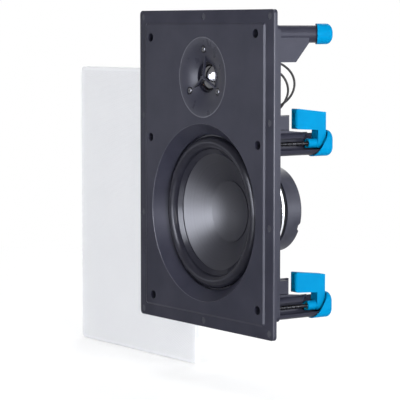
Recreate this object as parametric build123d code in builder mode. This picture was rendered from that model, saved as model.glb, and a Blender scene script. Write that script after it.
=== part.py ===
from build123d import *
import os
from math import cos, radians, sin, tan

os.makedirs("parts", exist_ok=True)

# In-wall loudspeaker, in millimetres. X runs to the right and Z up as seen from the room, and Y runs
# into the wall. The origin is the centre of the flange's rear face, which lies on the wall.

# Flange, sloped band and raised panel
flange_width = 224.0
flange_height = 308.0
flange_edge = 4.0
flange_corner = 4.0
flange_lap = 14.5
edge_round = 0.8
band_width = 14.0
band_rise = 0.8
step_run = 2.0
panel_rise = 2.0
panel_wall = 3.0
panel_corner = 1.5
panel_round = 0.7

# Skirt that goes through the wall cut-out
skirt_depth = 15.0
skirt_wall = 2.5
skirt_corner = 5.0
rib_wall = 2.0
rib_depth = 9.0
ring_ribs = 8
ring_rib_length = 14.0

# Clamp towers and their end caps
tower_width = 22.0
tower_reach = 8.0
tower_back = 8.8
tower_corner = 7.5
tower_wall = 2.6
tower_seat = 8.0
tower_seat_wall = 3.0
slot_width = 11.3
side_clamp_drop = 26.7
middle_clamp_height = 27.7
end_clamp_inset = 26.4
cap_rear = 77.5
cap_wall = 1.2
cap_end_wall = 2.0
cap_gap = 0.2
cap_round = 2.6
ramp_middle = 66.0
ramp_slope = 0.65
park_middle = 50.9
park_slope = 1.2
park_gap = 0.6
gusset_gap = 2.3
gusset_top = 49.0
gusset_foot = 33.5
block_start = 14.5
block_end = 27.0
block_inner = 2.0
block_depth = 25.0
block_wall = 2.0
web_depth = 36.0
park_rib_width = 6.0
park_rib_height = 13.0
park_rib_end = 45.5

# Clamp screws, nuts and dog-legs
screw_radius = 2.0
screw_head_radius = 3.7
screw_head_height = 3.0
screw_head_round = 0.75
screw_end = 74.5
screw_hole_radius = 4.3
screw_gap = 0.3
nut_radius = 3.2
nut_length = 14.0
nut_gap = 0.1
nut_inset = 1.5
hub_radius = 4.5
hub_front = 52.0
arm_thickness = 10.0
arm_length = 9.4
leg_rear = 71.5
pad_front = 36.5
pad_inner_front = 14.0
pad_inner_rear = 12.2
pad_outer_front = 33.5
pad_outer_rear = 29.5
pad_round = 2.5

# Cover and the magnets that hold it
magnet_radius = 3.0
magnet_length = 2.2
magnet_sink = 0.4
magnet_gap = 0.1
magnet_inset = 6.5
magnet_height = 49.0
grille_margin = 1.5
grille_sheet = 1.0
grille_lip = 4.5
grille_corner = 5.0
grille_round = 1.6
grille_x = -245.5
grille_y = 78.0
grille_z = -62.0

# Woofer
woofer_z = -42.3
recess_radius = 86.7
recess_depth = 11.5
recess_wall = 2.5
seat_radius = 76.0
seat_wall = 2.0
seat_border = 2.3
basket_radius = 83.2
basket_wall = 1.8
gasket_height = 1.0
gasket_width = 3.2
basket_mouth = 73.5
basket_collar = 5.5
basket_neck = 46.0
basket_shoulder = 45.0
basket_rear = 56.0
basket_windows = 6
window_inner = 50.0
window_outer = 69.0
window_angle = 36.0
spider_landing = 3.0
surround_lip = 4.0
surround_outer = 74.4
surround_inner = 61.6
surround_wall = 0.8
roll_height = 5.6
glue_width = 4.6
soft_gap = 0.3
cone_rim_depth = 8.8
cone_slope = 0.6
cone_wall = 1.0
cone_neck = 13.4
dust_cap_radius = 30.0
dust_cap_dish = 6.4
dust_cap_wall = 0.8
coil_radius = 12.9
former_wall = 0.3
former_front = 37.6
former_end = 66.0
winding_wall = 0.5
winding_length = 13.0
spider_outer = 42.5
spider_wall = 0.6
spider_waves = 6
spider_wave_height = 1.4
front_plate_radius = 45.0
front_plate_wall = 5.0
gap_radius = 14.4
magnet_ring_radius = 40.0
magnet_ring_bore = 22.0
magnet_ring_height = 16.0
yoke_radius = 39.0
yoke_wall = 5.0
pole_radius = 12.0
pole_vent = 4.0
boot_wall = 2.0
boot_gap = 0.3
boot_lead = 5.5
boot_vent = 9.0
boot_round = 1.5
boot_notch = 5.0
boot_notch_angle = -22.0
boot_notches = 3
woofer_screw_circle = 80.6
woofer_screw_count = 4
woofer_screw_radius = 1.8
woofer_screw_head = 3.4
woofer_screw_head_height = 2.4
woofer_screw_length = 6.0
boss_radius = 4.2
strip_angle = 65.0
strip_radius = 78.3
strip_width = 22.0
strip_height = 10.0
strip_wall = 1.6
lug_width = 4.8
lug_wall = 0.8
lug_length = 7.0
lug_spread = 6.0
tinsel_radius = 0.6
tinsel_spread = 4.5
tinsel_route = ((77.3, 19.5), (70.0, 22.0), (60.0, 29.0), (48.0, 33.5), (38.0, 32.5), (31.5, 28.6))

# Tweeter
tweeter_z = 89.3
waveguide_radius = 38.8
waveguide_gap = 0.2
waveguide_rim = 0.8
waveguide_wall = 2.0
waveguide_skirt = 1.8
dish_middle_radius = 25.0
dish_middle_depth = 2.0
dish_depth = 5.2
throat_radius = 15.2
throat_depth = 8.2
ledge_depth = 8.0
ledge_wall = 2.5
ledge_hole = 23.0
well_wall = 2.6
spoke_angles = (90, 210, 330)
spoke_width = 1.7
spoke_depth = 2.4
spoke_start = 0.4
spoke_reach = 20.5
spoke_foot = 2.8
spoke_foot_depth = 1.8
spoke_hub_radius = 1.6
tweeter_screw_circle = 27.0
tweeter_screw_radius = 1.5
tweeter_screw_head = 3.2
tweeter_screw_head_height = 2.2
tweeter_screw_length = 10.0
tweeter_screw_gap = 0.2
counterbore_radius = 3.8
counterbore_wall = 1.0
counterbore_depth = 3.4
boss_sink = 0.6
tweeter_boss_radius = 3.4
tweeter_boss_depth = 6.0
dome_radius = 12.5
dome_height = 4.8
dome_wall = 0.4
tweeter_roll = 1.4
tweeter_roll_wall = 0.2
tweeter_roll_height = 0.7
tweeter_lip = 2.2
tweeter_lip_wall = 0.4
tweeter_coil_wall = 0.5
tweeter_coil_length = 5.0
tweeter_plate_radius = 21.0
tweeter_plate_wall = 3.0
tweeter_gap_width = 1.1
slug_radius = 10.8
slug_drop = 1.6
slug_height = 10.0
cup_wall = 3.0
cup_round = 1.0
tab_width = 4.8
tab_wall = 0.8
tab_length = 8.0
tab_spread = 7.0
tab_base_wall = 1.6
tab_base_height = 10.0

# Crossover and terminals
board_width = 35.0
board_height = 68.0
board_side = 33.0
board_drop = 36.0
board_wall = 1.6
board_y = 8.0
standoff_radius = 3.2
standoff_inset = 3.6
board_screw_radius = 1.4
board_screw_head = 2.7
board_screw_head_height = 1.8
board_screw_length = 7.0
inductor_side = 17.0
inductor_drop = 18.0
inductor_radius = 13.5
inductor_core = 5.5
inductor_cheek = 1.2
inductor_height = 14.0
inductor_sink = 1.0
capacitor_radius = 5.2
capacitor_length = 20.0
capacitor_side = 5.0
capacitor_heights = (30.5, 19.5)
capacitor_bead = 4.0
resistor_edge = 1.7
resistor_lift = 16.0
resistor_width = 6.5
resistor_length = 21.0
resistor_height = 7.0
terminal_lift = 1.0
terminal_width = 20.0
terminal_height = 12.6
terminal_depth = 17.0
button_width = 7.0
button_height = 5.0
button_spread = 9.5
button_lift = 2.4
button_stand = 4.0
button_depth = 8.0
button_travel = 3.0
button_round = 0.8
button_gap = 0.4
wire_hole_radius = 1.6
wire_hole_drop = 3.2
wire_hole_depth = 12.0

# Leads: which terminal they go to, how far below the top of the board they start, and their way
lead_edge = 2.0
lead_rise = 11.0
lug_rise = 16.0
woofer_lead_routes = (
    (
        1,
        12.0,
        (
            (77.0, 33.0, 102.5),
            (75.5, 45.0, 94.5),
            (75.0, 49.5, 84.0),
            (74.0, 46.5, 73.0),
            (66.0, 41.5, 64.0),
            (50.0, 39.0, 58.0),
            (41.5, 41.0, 47.5),
        ),
    ),
    (
        -1,
        21.5,
        (
            (76.5, 30.5, 94.5),
            (75.5, 39.0, 86.0),
            (74.5, 42.0, 76.0),
            (71.5, 39.5, 66.0),
            (64.5, 35.5, 57.0),
            (55.5, 35.0, 46.5),
            (47.0, 40.0, 36.5),
        ),
    ),
)
tweeter_lead_routes = (
    (1, 25.0, ((19.0, 44.0, 91.0), (33.0, 37.0, 92.5))),
    (-1, 31.5, ((6.0, 46.0, 85.5), (22.0, 45.0, 84.0), (36.0, 36.0, 85.0))),
)
lead_radius = 1.1
run_share = 0.45

# Places that follow from the sizes above
panel_front = -(flange_edge + panel_rise)
panel_rear = panel_front + panel_wall
panel_width = flange_width - 2 * band_width
panel_height = flange_height - 2 * band_width
skirt_width = flange_width - 2 * flange_lap
skirt_height = flange_height - 2 * flange_lap
tower_end = cap_rear - cap_end_wall
tower_depth = tower_reach + tower_back
tower_shift = (tower_reach - tower_back) / 2
seat_floor = tower_seat + tower_seat_wall
recess_floor = panel_front + recess_depth
woofer_face = recess_floor + seat_wall
basket_face = woofer_face + gasket_height
basket_back = basket_face + basket_wall
woofer_screw_end = basket_back - woofer_screw_length
seat_rim = basket_radius + seat_border
plate_rear = basket_rear + front_plate_wall
ring_rear = plate_rear + magnet_ring_height
yoke_rear = ring_rear + yoke_wall
ledge_face = panel_front + ledge_depth
throat_rear = panel_front + throat_depth
tweeter_screw_seat = panel_front + counterbore_depth
tweeter_screw_end = tweeter_screw_seat + tweeter_screw_length
board_rear = board_y + board_wall
board_left = flange_width / 2 - board_side - board_width
board_bottom = flange_height / 2 - board_drop - board_height
arm_front = leg_rear - arm_length
woofer_axis = Axis((0, 0, woofer_z), (0, 1, 0))
tweeter_axis = Axis((0, 0, tweeter_z), (0, 1, 0))

# Each clamp has the place of its screw and the way in which its dog-leg swings out, as a turn about Y
# from +X, clockwise as seen from the room. A dog-leg turns clockwise from its parked place to get there.
# Its pieces are drawn at the origin, swinging out to +X and parked to +Z, and then turned into place.
side_clamp_x = skirt_width / 2 - tower_reach
side_clamp_z = flange_height / 2 - side_clamp_drop
end_clamp_x = flange_width / 2 - end_clamp_inset
end_clamp_z = skirt_height / 2 - tower_reach
clamps = {
    "top_left": Location((-side_clamp_x, 0, side_clamp_z), (0, 180, 0)),
    "middle_left": Location((-side_clamp_x, 0, middle_clamp_height), (0, 180, 0)),
    "bottom_left": Location((-end_clamp_x, 0, -end_clamp_z), (0, 90, 0)),
    "top_right": Location((end_clamp_x, 0, end_clamp_z), (0, -90, 0)),
    "middle_right": Location((side_clamp_x, 0, middle_clamp_height), (0, 0, 0)),
    "bottom_right": Location((side_clamp_x, 0, -side_clamp_z), (0, 0, 0)),
}


def save(piece, name):
    piece.part.label = name
    export_step(piece.part, f"parts/{name}.step")


def room_plane(depth):
    # Seen from the room: x to the right, y up
    return Plane.XZ.offset(-depth)


def outline(*points):
    with BuildLine() as border:
        Polyline(*points, close=True)
    make_face(border.edges())


def bars(centers, radius, start, end, mode=Mode.ADD):
    # Round bars along Y between two depths
    with BuildSketch(room_plane(start)) as section:
        with Locations(*centers):
            Circle(radius)
    extrude(section.sketch, amount=start - end, mode=mode)


def slab(left, right, bottom, top, start, end, mode=Mode.ADD):
    # Square bar along Y between two depths
    with BuildSketch(room_plane(start)) as section:
        with Locations(((left + right) / 2, (bottom + top) / 2)):
            Rectangle(right - left, top - bottom)
    extrude(section.sketch, amount=start - end, mode=mode)


def ring(center, outer, inner, start, end):
    bars([center], outer, start, end)
    bars([center], inner, start, end, Mode.SUBTRACT)


def tower_section(grow, start, end, mode=Mode.ADD):
    with BuildSketch(room_plane(start)) as section:
        with Locations((tower_shift, 0)):
            RectangleRounded(tower_depth + 2 * grow, tower_width + 2 * grow, tower_corner + grow)
    extrude(section.sketch, amount=start - end, mode=mode)


def polar_spot(center_z, radius, angle):
    return (radius * cos(radians(angle)), center_z + radius * sin(radians(angle)))


def cone_front(radius):
    return cone_rim_depth + cone_slope * (surround_inner - radius)


def cap_profile(radius, rim, rise):
    # Arc from the rim to the axis, round a centre that lies on the axis
    sphere = (radius**2 + rise**2) / (2 * abs(rise))
    half_rise = abs(rise) - sphere + (sphere**2 - radius**2 / 4) ** 0.5
    middle = (radius / 2, rim + half_rise * rise / abs(rise))
    ThreePointArc((radius, rim), middle, (0, rim + rise))


def lead(name, points, radius):
    # Round wire along straight runs joined by arcs as large as the runs allow
    corners = [Vector(*point) for point in points]
    bends = []
    for before, corner, after in zip(corners, corners[1:], corners[2:]):
        run_in = corner - before
        run_out = after - corner
        half_turn = radians(run_in.get_angle(run_out) / 2)
        bends.append(run_share * min(run_in.length, run_out.length) / tan(half_turn))
    print(name, "bend radii", [round(bend, 1) for bend in bends])
    with BuildLine() as route:
        FilletPolyline(*corners, radius=bends)
    with BuildSketch(Plane(origin=corners[0], z_dir=corners[1] - corners[0])) as section:
        Circle(radius)
    sweep(section.sketch, path=route.wire())


# One clamp tower: a round-cornered channel with its gusset, its block and the web beside the parked leg.
# The gusset's foot ends beside the screw heads of the woofer.
woofer_screw_spots = [
    polar_spot(woofer_z, woofer_screw_circle, 360 / woofer_screw_count * (i + 0.5))
    for i in range(woofer_screw_count)
]
woofer_screw_side = max(x for x, z in woofer_screw_spots) + woofer_screw_head
gusset_reach = side_clamp_x - tower_back - woofer_screw_side - gusset_gap
tower_root = (panel_front + panel_rear) / 2
with BuildPart() as clamp_tower:
    tower_section(0, tower_root, tower_end)
    with BuildSketch(Plane.XY.offset(-tower_width / 2)):
        outline(
            (-tower_corner / 2, tower_root),
            (-tower_corner / 2, gusset_top),
            (-tower_back, gusset_top),
            (-tower_back - gusset_reach, gusset_foot),
            (-tower_back - gusset_reach, tower_root),
        )
    extrude(amount=tower_wall)
    slab(-block_inner, tower_reach, block_start, block_end, tower_root, block_depth)
    slab(-tower_back, tower_wall - tower_back, tower_corner, block_end, tower_root, web_depth)
    with BuildSketch(Plane.YZ):
        outline(
            (tower_root, tower_width / 2 - tower_wall),
            (tower_root, park_rib_height),
            (block_depth, park_rib_height),
            (park_rib_end, tower_width / 2),
            (park_rib_end, tower_width / 2 - tower_wall),
        )
    extrude(amount=park_rib_width / 2, both=True)

# What is hollow in a tower: screw bore, channel, slot, the way round for the dog-leg, and the block's inside
park_inner = -arm_thickness / 2 - park_gap
with BuildPart() as tower_hollow:
    tower_section(-tower_wall, seat_floor, cap_rear)
    slab(0, tower_depth, -slot_width / 2, slot_width / 2, skirt_depth, cap_rear)
    with BuildSketch(Plane.XY):
        outline(
            (park_inner, park_middle - park_slope * park_inner),
            (tower_depth, park_middle - park_slope * tower_depth),
            (tower_depth, cap_rear),
            (park_inner, cap_rear),
        )
    extrude(amount=tower_width)
    bars([(0, 0)], screw_hole_radius, panel_front - panel_wall, tower_seat)
    bars([(0, 0)], screw_radius + screw_gap, tower_seat, seat_floor)
    slab(
        block_wall - block_inner,
        tower_reach - block_wall,
        block_start + block_wall,
        block_end - block_wall,
        panel_rear + block_wall,
        cap_rear,
    )

# Moulded frame
tweeter_screw_spots = [polar_spot(tweeter_z, tweeter_screw_circle, angle) for angle in spoke_angles]
board_spots = [
    (board_left + side_x, board_bottom + side_z)
    for side_x in (standoff_inset, board_width - standoff_inset)
    for side_z in (standoff_inset, board_height - standoff_inset)
]
magnet_x = flange_width / 2 - magnet_inset
magnet_z = flange_height / 2 - magnet_inset
magnet_spots = [(x, z) for x in (-magnet_x, 0, magnet_x) for z in (-magnet_z, magnet_z)]
magnet_spots += [(x, z) for x in (-magnet_x, magnet_x) for z in (-magnet_height, magnet_height)]
magnet_front = magnet_sink - flange_edge - band_rise * magnet_inset / (band_width - step_run)
magnet_rear = magnet_front + magnet_length
rib_z = (woofer_z + recess_radius + tweeter_z - waveguide_radius) / 2
recess_run = (recess_radius - seat_radius) / recess_depth
recess_shift = recess_wall * (1 + recess_run**2) ** 0.5

with BuildPart() as baffle_frame:
    # Flange, sloped band and the step up to the panel
    with BuildSketch(Plane.XZ):
        RectangleRounded(flange_width, flange_height, flange_corner)
    extrude(amount=flange_edge)
    with BuildSketch(room_plane(-flange_edge)):
        RectangleRounded(flange_width, flange_height, flange_corner)
    with BuildSketch(room_plane(-flange_edge - band_rise)):
        RectangleRounded(panel_width + 2 * step_run, panel_height + 2 * step_run, panel_corner + step_run)
    loft(ruled=True)
    with BuildSketch(room_plane(-flange_edge - band_rise)):
        RectangleRounded(panel_width + 2 * step_run, panel_height + 2 * step_run, panel_corner + step_run)
    with BuildSketch(room_plane(panel_front)):
        RectangleRounded(panel_width, panel_height, panel_corner)
    loft(ruled=True)
    fillet(baffle_frame.faces().sort_by(Axis.Y)[0].edges(), panel_round)
    fillet(baffle_frame.edges().filter_by_position(Axis.Y, -flange_edge, -flange_edge), edge_round)

    # Hollow behind the panel, and the skirt round it
    with BuildSketch(Plane.XZ):
        RectangleRounded(skirt_width, skirt_height, skirt_corner)
    extrude(amount=-skirt_depth)
    with BuildSketch(room_plane(skirt_depth)):
        RectangleRounded(
            skirt_width - 2 * skirt_wall, skirt_height - 2 * skirt_wall, skirt_corner - skirt_wall
        )
    extrude(amount=skirt_depth - panel_rear, mode=Mode.SUBTRACT)

    # Cross rib between the two drivers, and short ribs round the woofer
    with BuildSketch(room_plane(tower_root)):
        with Locations((0, rib_z)):
            Rectangle(skirt_width - skirt_wall, rib_wall)
        with Locations((0, woofer_z)):
            with PolarLocations(seat_rim, ring_ribs):
                Rectangle(ring_rib_length, rib_wall)
    extrude(amount=-rib_depth)

    # Woofer recess: a cone-shaped wall that ends in the ring that the woofer is screwed to
    with BuildSketch(Plane.XY.offset(woofer_z)):
        outline(
            (recess_radius, panel_front),
            (seat_radius, recess_floor),
            (seat_radius, woofer_face),
            (seat_rim, woofer_face),
            (seat_rim, recess_floor),
            (seat_radius + recess_shift, recess_floor),
            (recess_radius + recess_shift, panel_front),
        )
    revolve(axis=woofer_axis)
    bars(woofer_screw_spots, boss_radius, tower_root, woofer_face)

    # Tweeter well, the bosses behind its ledge, and the standoffs of the crossover
    bars([(0, tweeter_z)], waveguide_radius + well_wall, tower_root, ledge_face + ledge_wall)
    bars(tweeter_screw_spots, tweeter_boss_radius, ledge_face, ledge_face + tweeter_boss_depth)
    bars(board_spots, standoff_radius, tower_root, board_y)

    # Clamp towers
    with Locations(*clamps.values()):
        add(clamp_tower.part)

    # Everything that is open
    with BuildSketch(Plane.XY.offset(woofer_z)):
        outline(
            (0, panel_front - recess_depth),
            (recess_radius + recess_run * recess_depth, panel_front - recess_depth),
            (seat_radius, recess_floor),
            (seat_radius, woofer_face + recess_depth),
            (0, woofer_face + recess_depth),
        )
    revolve(axis=woofer_axis, mode=Mode.SUBTRACT)
    bars(woofer_screw_spots, woofer_screw_radius, woofer_screw_end, basket_face, Mode.SUBTRACT)
    well_radius = waveguide_radius + waveguide_gap
    bars([(0, tweeter_z)], well_radius, panel_front - panel_wall, ledge_face, Mode.SUBTRACT)
    bars([(0, tweeter_z)], ledge_hole, ledge_face, throat_rear + tweeter_boss_depth, Mode.SUBTRACT)
    bars(tweeter_screw_spots, tweeter_screw_radius, ledge_face, tweeter_screw_end, Mode.SUBTRACT)
    bars(board_spots, board_screw_radius, board_y - board_screw_length, board_rear, Mode.SUBTRACT)
    bars(magnet_spots, magnet_radius + magnet_gap, panel_front - panel_wall, magnet_rear, Mode.SUBTRACT)
    with Locations(*clamps.values()):
        add(tower_hollow.part, mode=Mode.SUBTRACT)
save(baffle_frame, "baffle_frame")

# Clamp screw, nut, dog-leg and end cap, drawn at the origin
nut_front = hub_front + nut_inset
nut_rear = nut_front + nut_length
with BuildPart() as screw_blank:
    bars([(0, 0)], screw_head_radius, tower_seat - screw_head_height, tower_seat)
    bars([(0, 0)], screw_radius, tower_seat, screw_end)
    fillet(screw_blank.faces().sort_by(Axis.Y)[0].edges(), screw_head_round)

with BuildPart() as nut_blank:
    ring((0, 0), nut_radius, screw_radius + nut_gap, nut_front, nut_rear)

pad_share = (arm_front - pad_front) / (leg_rear - pad_front)
pad_inner_arm = pad_inner_front + (pad_inner_rear - pad_inner_front) * pad_share
with BuildPart() as leg_blank:
    with BuildSketch(Plane.YZ):
        outline(
            (arm_front, 0),
            (arm_front, pad_inner_arm),
            (pad_front, pad_inner_front),
            (pad_front, pad_outer_front),
            (leg_rear, pad_outer_rear),
            (leg_rear, 0),
        )
    extrude(amount=arm_thickness / 2, both=True)
    fillet(leg_blank.faces().sort_by(Axis.Y)[0].edges(), pad_round)
    bars([(0, 0)], hub_radius, hub_front, leg_rear)
    bars([(0, 0)], arm_thickness / 2, arm_front, leg_rear)
    bars([(0, 0)], nut_radius + nut_gap, hub_front, nut_rear, Mode.SUBTRACT)
    bars([(0, 0)], screw_radius + screw_gap, hub_front, leg_rear, Mode.SUBTRACT)

# The slanted front edge of the cap is the ramp that turns the dog-leg back to its parked place
cap_grow = cap_gap + cap_wall
ramp_half = tower_width / 2 + cap_grow
ramp_front = ramp_middle - ramp_slope * ramp_half
with BuildPart() as cap_blank:
    tower_section(cap_grow, ramp_front, cap_rear)
    fillet(cap_blank.faces().sort_by(Axis.Y)[-1].edges(), cap_round)
    tower_section(cap_gap, ramp_front, tower_end, Mode.SUBTRACT)
    with BuildSketch(Plane.YZ):
        outline(
            (ramp_front, -ramp_half),
            (ramp_middle + ramp_slope * ramp_half, ramp_half),
            (ramp_front, ramp_half),
        )
    extrude(amount=tower_width, both=True, mode=Mode.SUBTRACT)

clamp_blanks = {
    "clamp_screw": screw_blank,
    "clamp_nut": nut_blank,
    "dog_leg": leg_blank,
    "tower_cap": cap_blank,
}
for place, location in clamps.items():
    for kind, blank in clamp_blanks.items():
        with BuildPart() as clamp_piece:
            with Locations(location):
                add(blank.part)
        save(clamp_piece, f"{kind}_{place}")

# Magnets in the flange
with BuildPart() as grille_magnets:
    bars(magnet_spots, magnet_radius, magnet_front, magnet_rear)
save(grille_magnets, "grille_magnets")

# Cover: a folded tray that snaps over the flange, taken off and standing apart
grille_width = flange_width + 2 * grille_margin
grille_height = flange_height + 2 * grille_margin
with BuildPart() as grille:
    with BuildSketch(room_plane(grille_y)):
        with Locations((grille_x, grille_z)):
            RectangleRounded(grille_width, grille_height, grille_corner)
    extrude(amount=-grille_lip)
    fillet(grille.faces().sort_by(Axis.Y)[0].edges(), grille_round)
    offset(amount=-grille_sheet, openings=grille.faces().sort_by(Axis.Y)[-1])
save(grille, "grille")

# Woofer basket: a rolled flange, a collar, spokes and a neck that carries the motor
half_window = radians(window_angle / 2)
with BuildPart() as woofer_basket:
    with BuildSketch(Plane.XY.offset(woofer_z)):
        outline(
            (basket_radius, basket_face),
            (basket_radius, basket_back),
            (basket_mouth + basket_wall, basket_back),
            (basket_mouth + basket_wall, basket_face + basket_collar),
            (basket_neck + basket_wall, basket_shoulder),
            (basket_neck + basket_wall, basket_rear),
            (gap_radius + basket_wall, basket_rear),
            (gap_radius + basket_wall, basket_rear - basket_wall),
            (basket_neck, basket_rear - basket_wall),
            (basket_neck, basket_shoulder),
            (spider_outer - spider_landing, basket_shoulder),
            (spider_outer - spider_landing, basket_shoulder - basket_wall),
            (basket_neck, basket_shoulder - basket_wall),
            (basket_mouth, basket_face + basket_collar),
            (basket_mouth, basket_face),
        )
    revolve(axis=woofer_axis)
    # Windows between the spokes
    with BuildSketch(room_plane(basket_face + basket_collar)):
        with Locations((0, woofer_z)):
            with PolarLocations((window_inner + window_outer) / 2, basket_windows):
                Trapezoid(
                    2 * window_outer * tan(half_window),
                    window_outer - window_inner,
                    90 - window_angle / 2,
                    rotation=90,
                )
    extrude(amount=basket_face + basket_collar - basket_shoulder, mode=Mode.SUBTRACT)
    bars(woofer_screw_spots, woofer_screw_radius + screw_gap, basket_face, basket_back, Mode.SUBTRACT)
save(woofer_basket, "woofer_basket")

with BuildPart() as woofer_gasket:
    ring((0, woofer_z), basket_radius, basket_radius - gasket_width, woofer_face, basket_face)
    bars(woofer_screw_spots, woofer_screw_radius + screw_gap, woofer_face, basket_face, Mode.SUBTRACT)
save(woofer_gasket, "woofer_gasket")

with BuildPart() as woofer_screws:
    bars(woofer_screw_spots, woofer_screw_head, basket_back, basket_back + woofer_screw_head_height)
    bars(woofer_screw_spots, woofer_screw_radius, woofer_screw_end, basket_back)
save(woofer_screws, "woofer_screws")

# Half-roll surround with an outer lip on the basket and an inner lip on the cone
lip_front = basket_face - surround_wall
roll_middle = (surround_outer + surround_inner) / 2
glue_radius = surround_inner - glue_width
glue_front = surround_wall + soft_gap
with BuildPart() as woofer_surround:
    with BuildSketch(Plane.XY.offset(woofer_z)):
        with BuildLine():
            Polyline(
                (surround_outer, lip_front),
                (surround_outer + surround_lip, lip_front),
                (surround_outer + surround_lip, basket_face),
                (surround_outer - surround_wall, basket_face),
            )
            ThreePointArc(
                (surround_outer - surround_wall, basket_face),
                (roll_middle, lip_front - roll_height + surround_wall),
                (surround_inner + surround_wall, cone_rim_depth - soft_gap),
            )
            Polyline(
                (surround_inner + surround_wall, cone_rim_depth - soft_gap),
                (surround_inner, cone_rim_depth - soft_gap),
                (glue_radius, cone_front(glue_radius) - soft_gap),
                (glue_radius, cone_front(glue_radius) - glue_front),
                (surround_inner, cone_rim_depth - glue_front),
            )
            ThreePointArc(
                (surround_inner, cone_rim_depth - glue_front),
                (roll_middle, lip_front - roll_height),
                (surround_outer, lip_front),
            )
        make_face()
    revolve(axis=woofer_axis)
save(woofer_surround, "woofer_surround")

with BuildPart() as woofer_cone:
    with BuildSketch(Plane.XY.offset(woofer_z)):
        outline(
            (surround_inner, cone_rim_depth),
            (cone_neck, cone_front(cone_neck)),
            (cone_neck, cone_front(cone_neck) + cone_wall),
            (surround_inner, cone_rim_depth + cone_wall),
        )
    revolve(axis=woofer_axis)
save(woofer_cone, "woofer_cone")

# Dished dust cap on the cone
cap_rim = cone_front(dust_cap_radius) - dust_cap_wall
with BuildPart() as woofer_dust_cap:
    with BuildSketch(Plane.XY.offset(woofer_z)):
        with BuildLine():
            for lift in (0, dust_cap_wall):
                cap_profile(dust_cap_radius, cap_rim + lift, dust_cap_dish)
            Line((0, cap_rim + dust_cap_dish), (0, cap_rim + dust_cap_wall + dust_cap_dish))
            Line((dust_cap_radius, cap_rim), (dust_cap_radius, cap_rim + dust_cap_wall))
        make_face()
    revolve(axis=woofer_axis)
save(woofer_dust_cap, "woofer_dust_cap")

# Voice coil: a former that reaches from the neck of the cone into the gap, with its winding
with BuildPart() as voice_coil:
    bars([(0, woofer_z)], coil_radius + former_wall, former_front, former_end)
    bars([(0, woofer_z)], coil_radius + former_wall + winding_wall, former_end - winding_length, former_end)
    bars([(0, woofer_z)], coil_radius, former_front, former_end, Mode.SUBTRACT)
save(voice_coil, "voice_coil")

# Corrugated spider between the coil and the landing in the basket
spider_inner = coil_radius + former_wall + soft_gap
spider_edge = spider_outer - spider_landing
spider_y = basket_shoulder - basket_wall - spider_wall
wave = (spider_edge - spider_inner) / spider_waves
with BuildPart() as spider:
    with BuildSketch(Plane.XY.offset(woofer_z)):
        with BuildLine():
            for lift in (0, spider_wall):
                for i in range(spider_waves):
                    start = spider_inner + wave * i
                    crest = spider_y + lift + spider_wave_height * (-1) ** i
                    ThreePointArc(
                        (start, spider_y + lift),
                        (start + wave / 2, crest),
                        (start + wave, spider_y + lift),
                    )
                Line((spider_edge, spider_y + lift), (spider_outer, spider_y + lift))
            Line((spider_inner, spider_y), (spider_inner, spider_y + spider_wall))
            Line((spider_outer, spider_y), (spider_outer, spider_y + spider_wall))
        make_face()
    revolve(axis=woofer_axis)
save(spider, "spider")

# Motor: front plate, ring magnet, yoke with its pole, and the boot over them
with BuildPart() as woofer_front_plate:
    ring((0, woofer_z), front_plate_radius, gap_radius, basket_rear, plate_rear)
    chamfer(woofer_front_plate.edges().group_by(Axis.Y)[-1].sort_by(SortBy.RADIUS)[-1], edge_round)
save(woofer_front_plate, "woofer_front_plate")

with BuildPart() as woofer_magnet:
    ring((0, woofer_z), magnet_ring_radius, magnet_ring_bore, plate_rear, ring_rear)
save(woofer_magnet, "woofer_magnet")

with BuildPart() as woofer_yoke:
    bars([(0, woofer_z)], yoke_radius, ring_rear, yoke_rear)
    bars([(0, woofer_z)], pole_radius, basket_rear, ring_rear)
    bars([(0, woofer_z)], pole_vent, basket_rear, yoke_rear, Mode.SUBTRACT)
save(woofer_yoke, "woofer_yoke")

boot_inside = magnet_ring_radius + boot_gap
boot_radius = boot_inside + boot_wall
boot_rear = yoke_rear + boot_wall
with BuildPart() as magnet_boot:
    bars([(0, woofer_z)], boot_radius, plate_rear + boot_lead, boot_rear)
    fillet(magnet_boot.faces().sort_by(Axis.Y)[-1].edges(), boot_round)
    bars([(0, woofer_z)], boot_inside, plate_rear + boot_lead, yoke_rear, Mode.SUBTRACT)
    bars([(0, woofer_z)], boot_vent, yoke_rear, boot_rear, Mode.SUBTRACT)
    # V notches in the rear rim
    for i in range(boot_notches):
        angle = radians(boot_notch_angle + 360 / boot_notches * i)
        notch_way = (cos(angle), 0, sin(angle))
        notch_side = Plane(origin=(0, boot_rear, woofer_z), x_dir=(0, 1, 0), z_dir=notch_way)
        with BuildSketch(notch_side.offset(yoke_radius)):
            outline((0, -boot_notch), (-boot_notch, 0), (0, boot_notch))
        extrude(amount=boot_radius, mode=Mode.SUBTRACT)
save(magnet_boot, "magnet_boot")

# Terminal strip that stands on the rear of the basket flange, with its two lugs
strip_x, strip_z = polar_spot(woofer_z, strip_radius, strip_angle)
strip_plane = Plane(
    origin=(strip_x, basket_back, strip_z),
    x_dir=(-sin(radians(strip_angle)), 0, cos(radians(strip_angle))),
    z_dir=(0, 1, 0),
)
with BuildPart() as woofer_terminal_strip:
    with BuildSketch(strip_plane):
        Rectangle(strip_width, strip_wall)
    extrude(amount=strip_height)
    with BuildSketch(strip_plane.offset(strip_height)):
        with Locations((-lug_spread, 0), (lug_spread, 0)):
            Rectangle(lug_width, lug_wall)
    extrude(amount=lug_length)
save(woofer_terminal_strip, "woofer_terminal_strip")

# Thin braided leads from the strip through a window of the basket to the back of the cone
with BuildPart() as tinsel_leads:
    for side in (-1, 1):
        angle = strip_angle + side * tinsel_spread
        route = []
        for radius, depth in tinsel_route:
            x, z = polar_spot(woofer_z, radius, angle)
            route.append((x, depth, z))
        lead("tinsel_leads", route, tinsel_radius)
save(tinsel_leads, "tinsel_leads")

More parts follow.
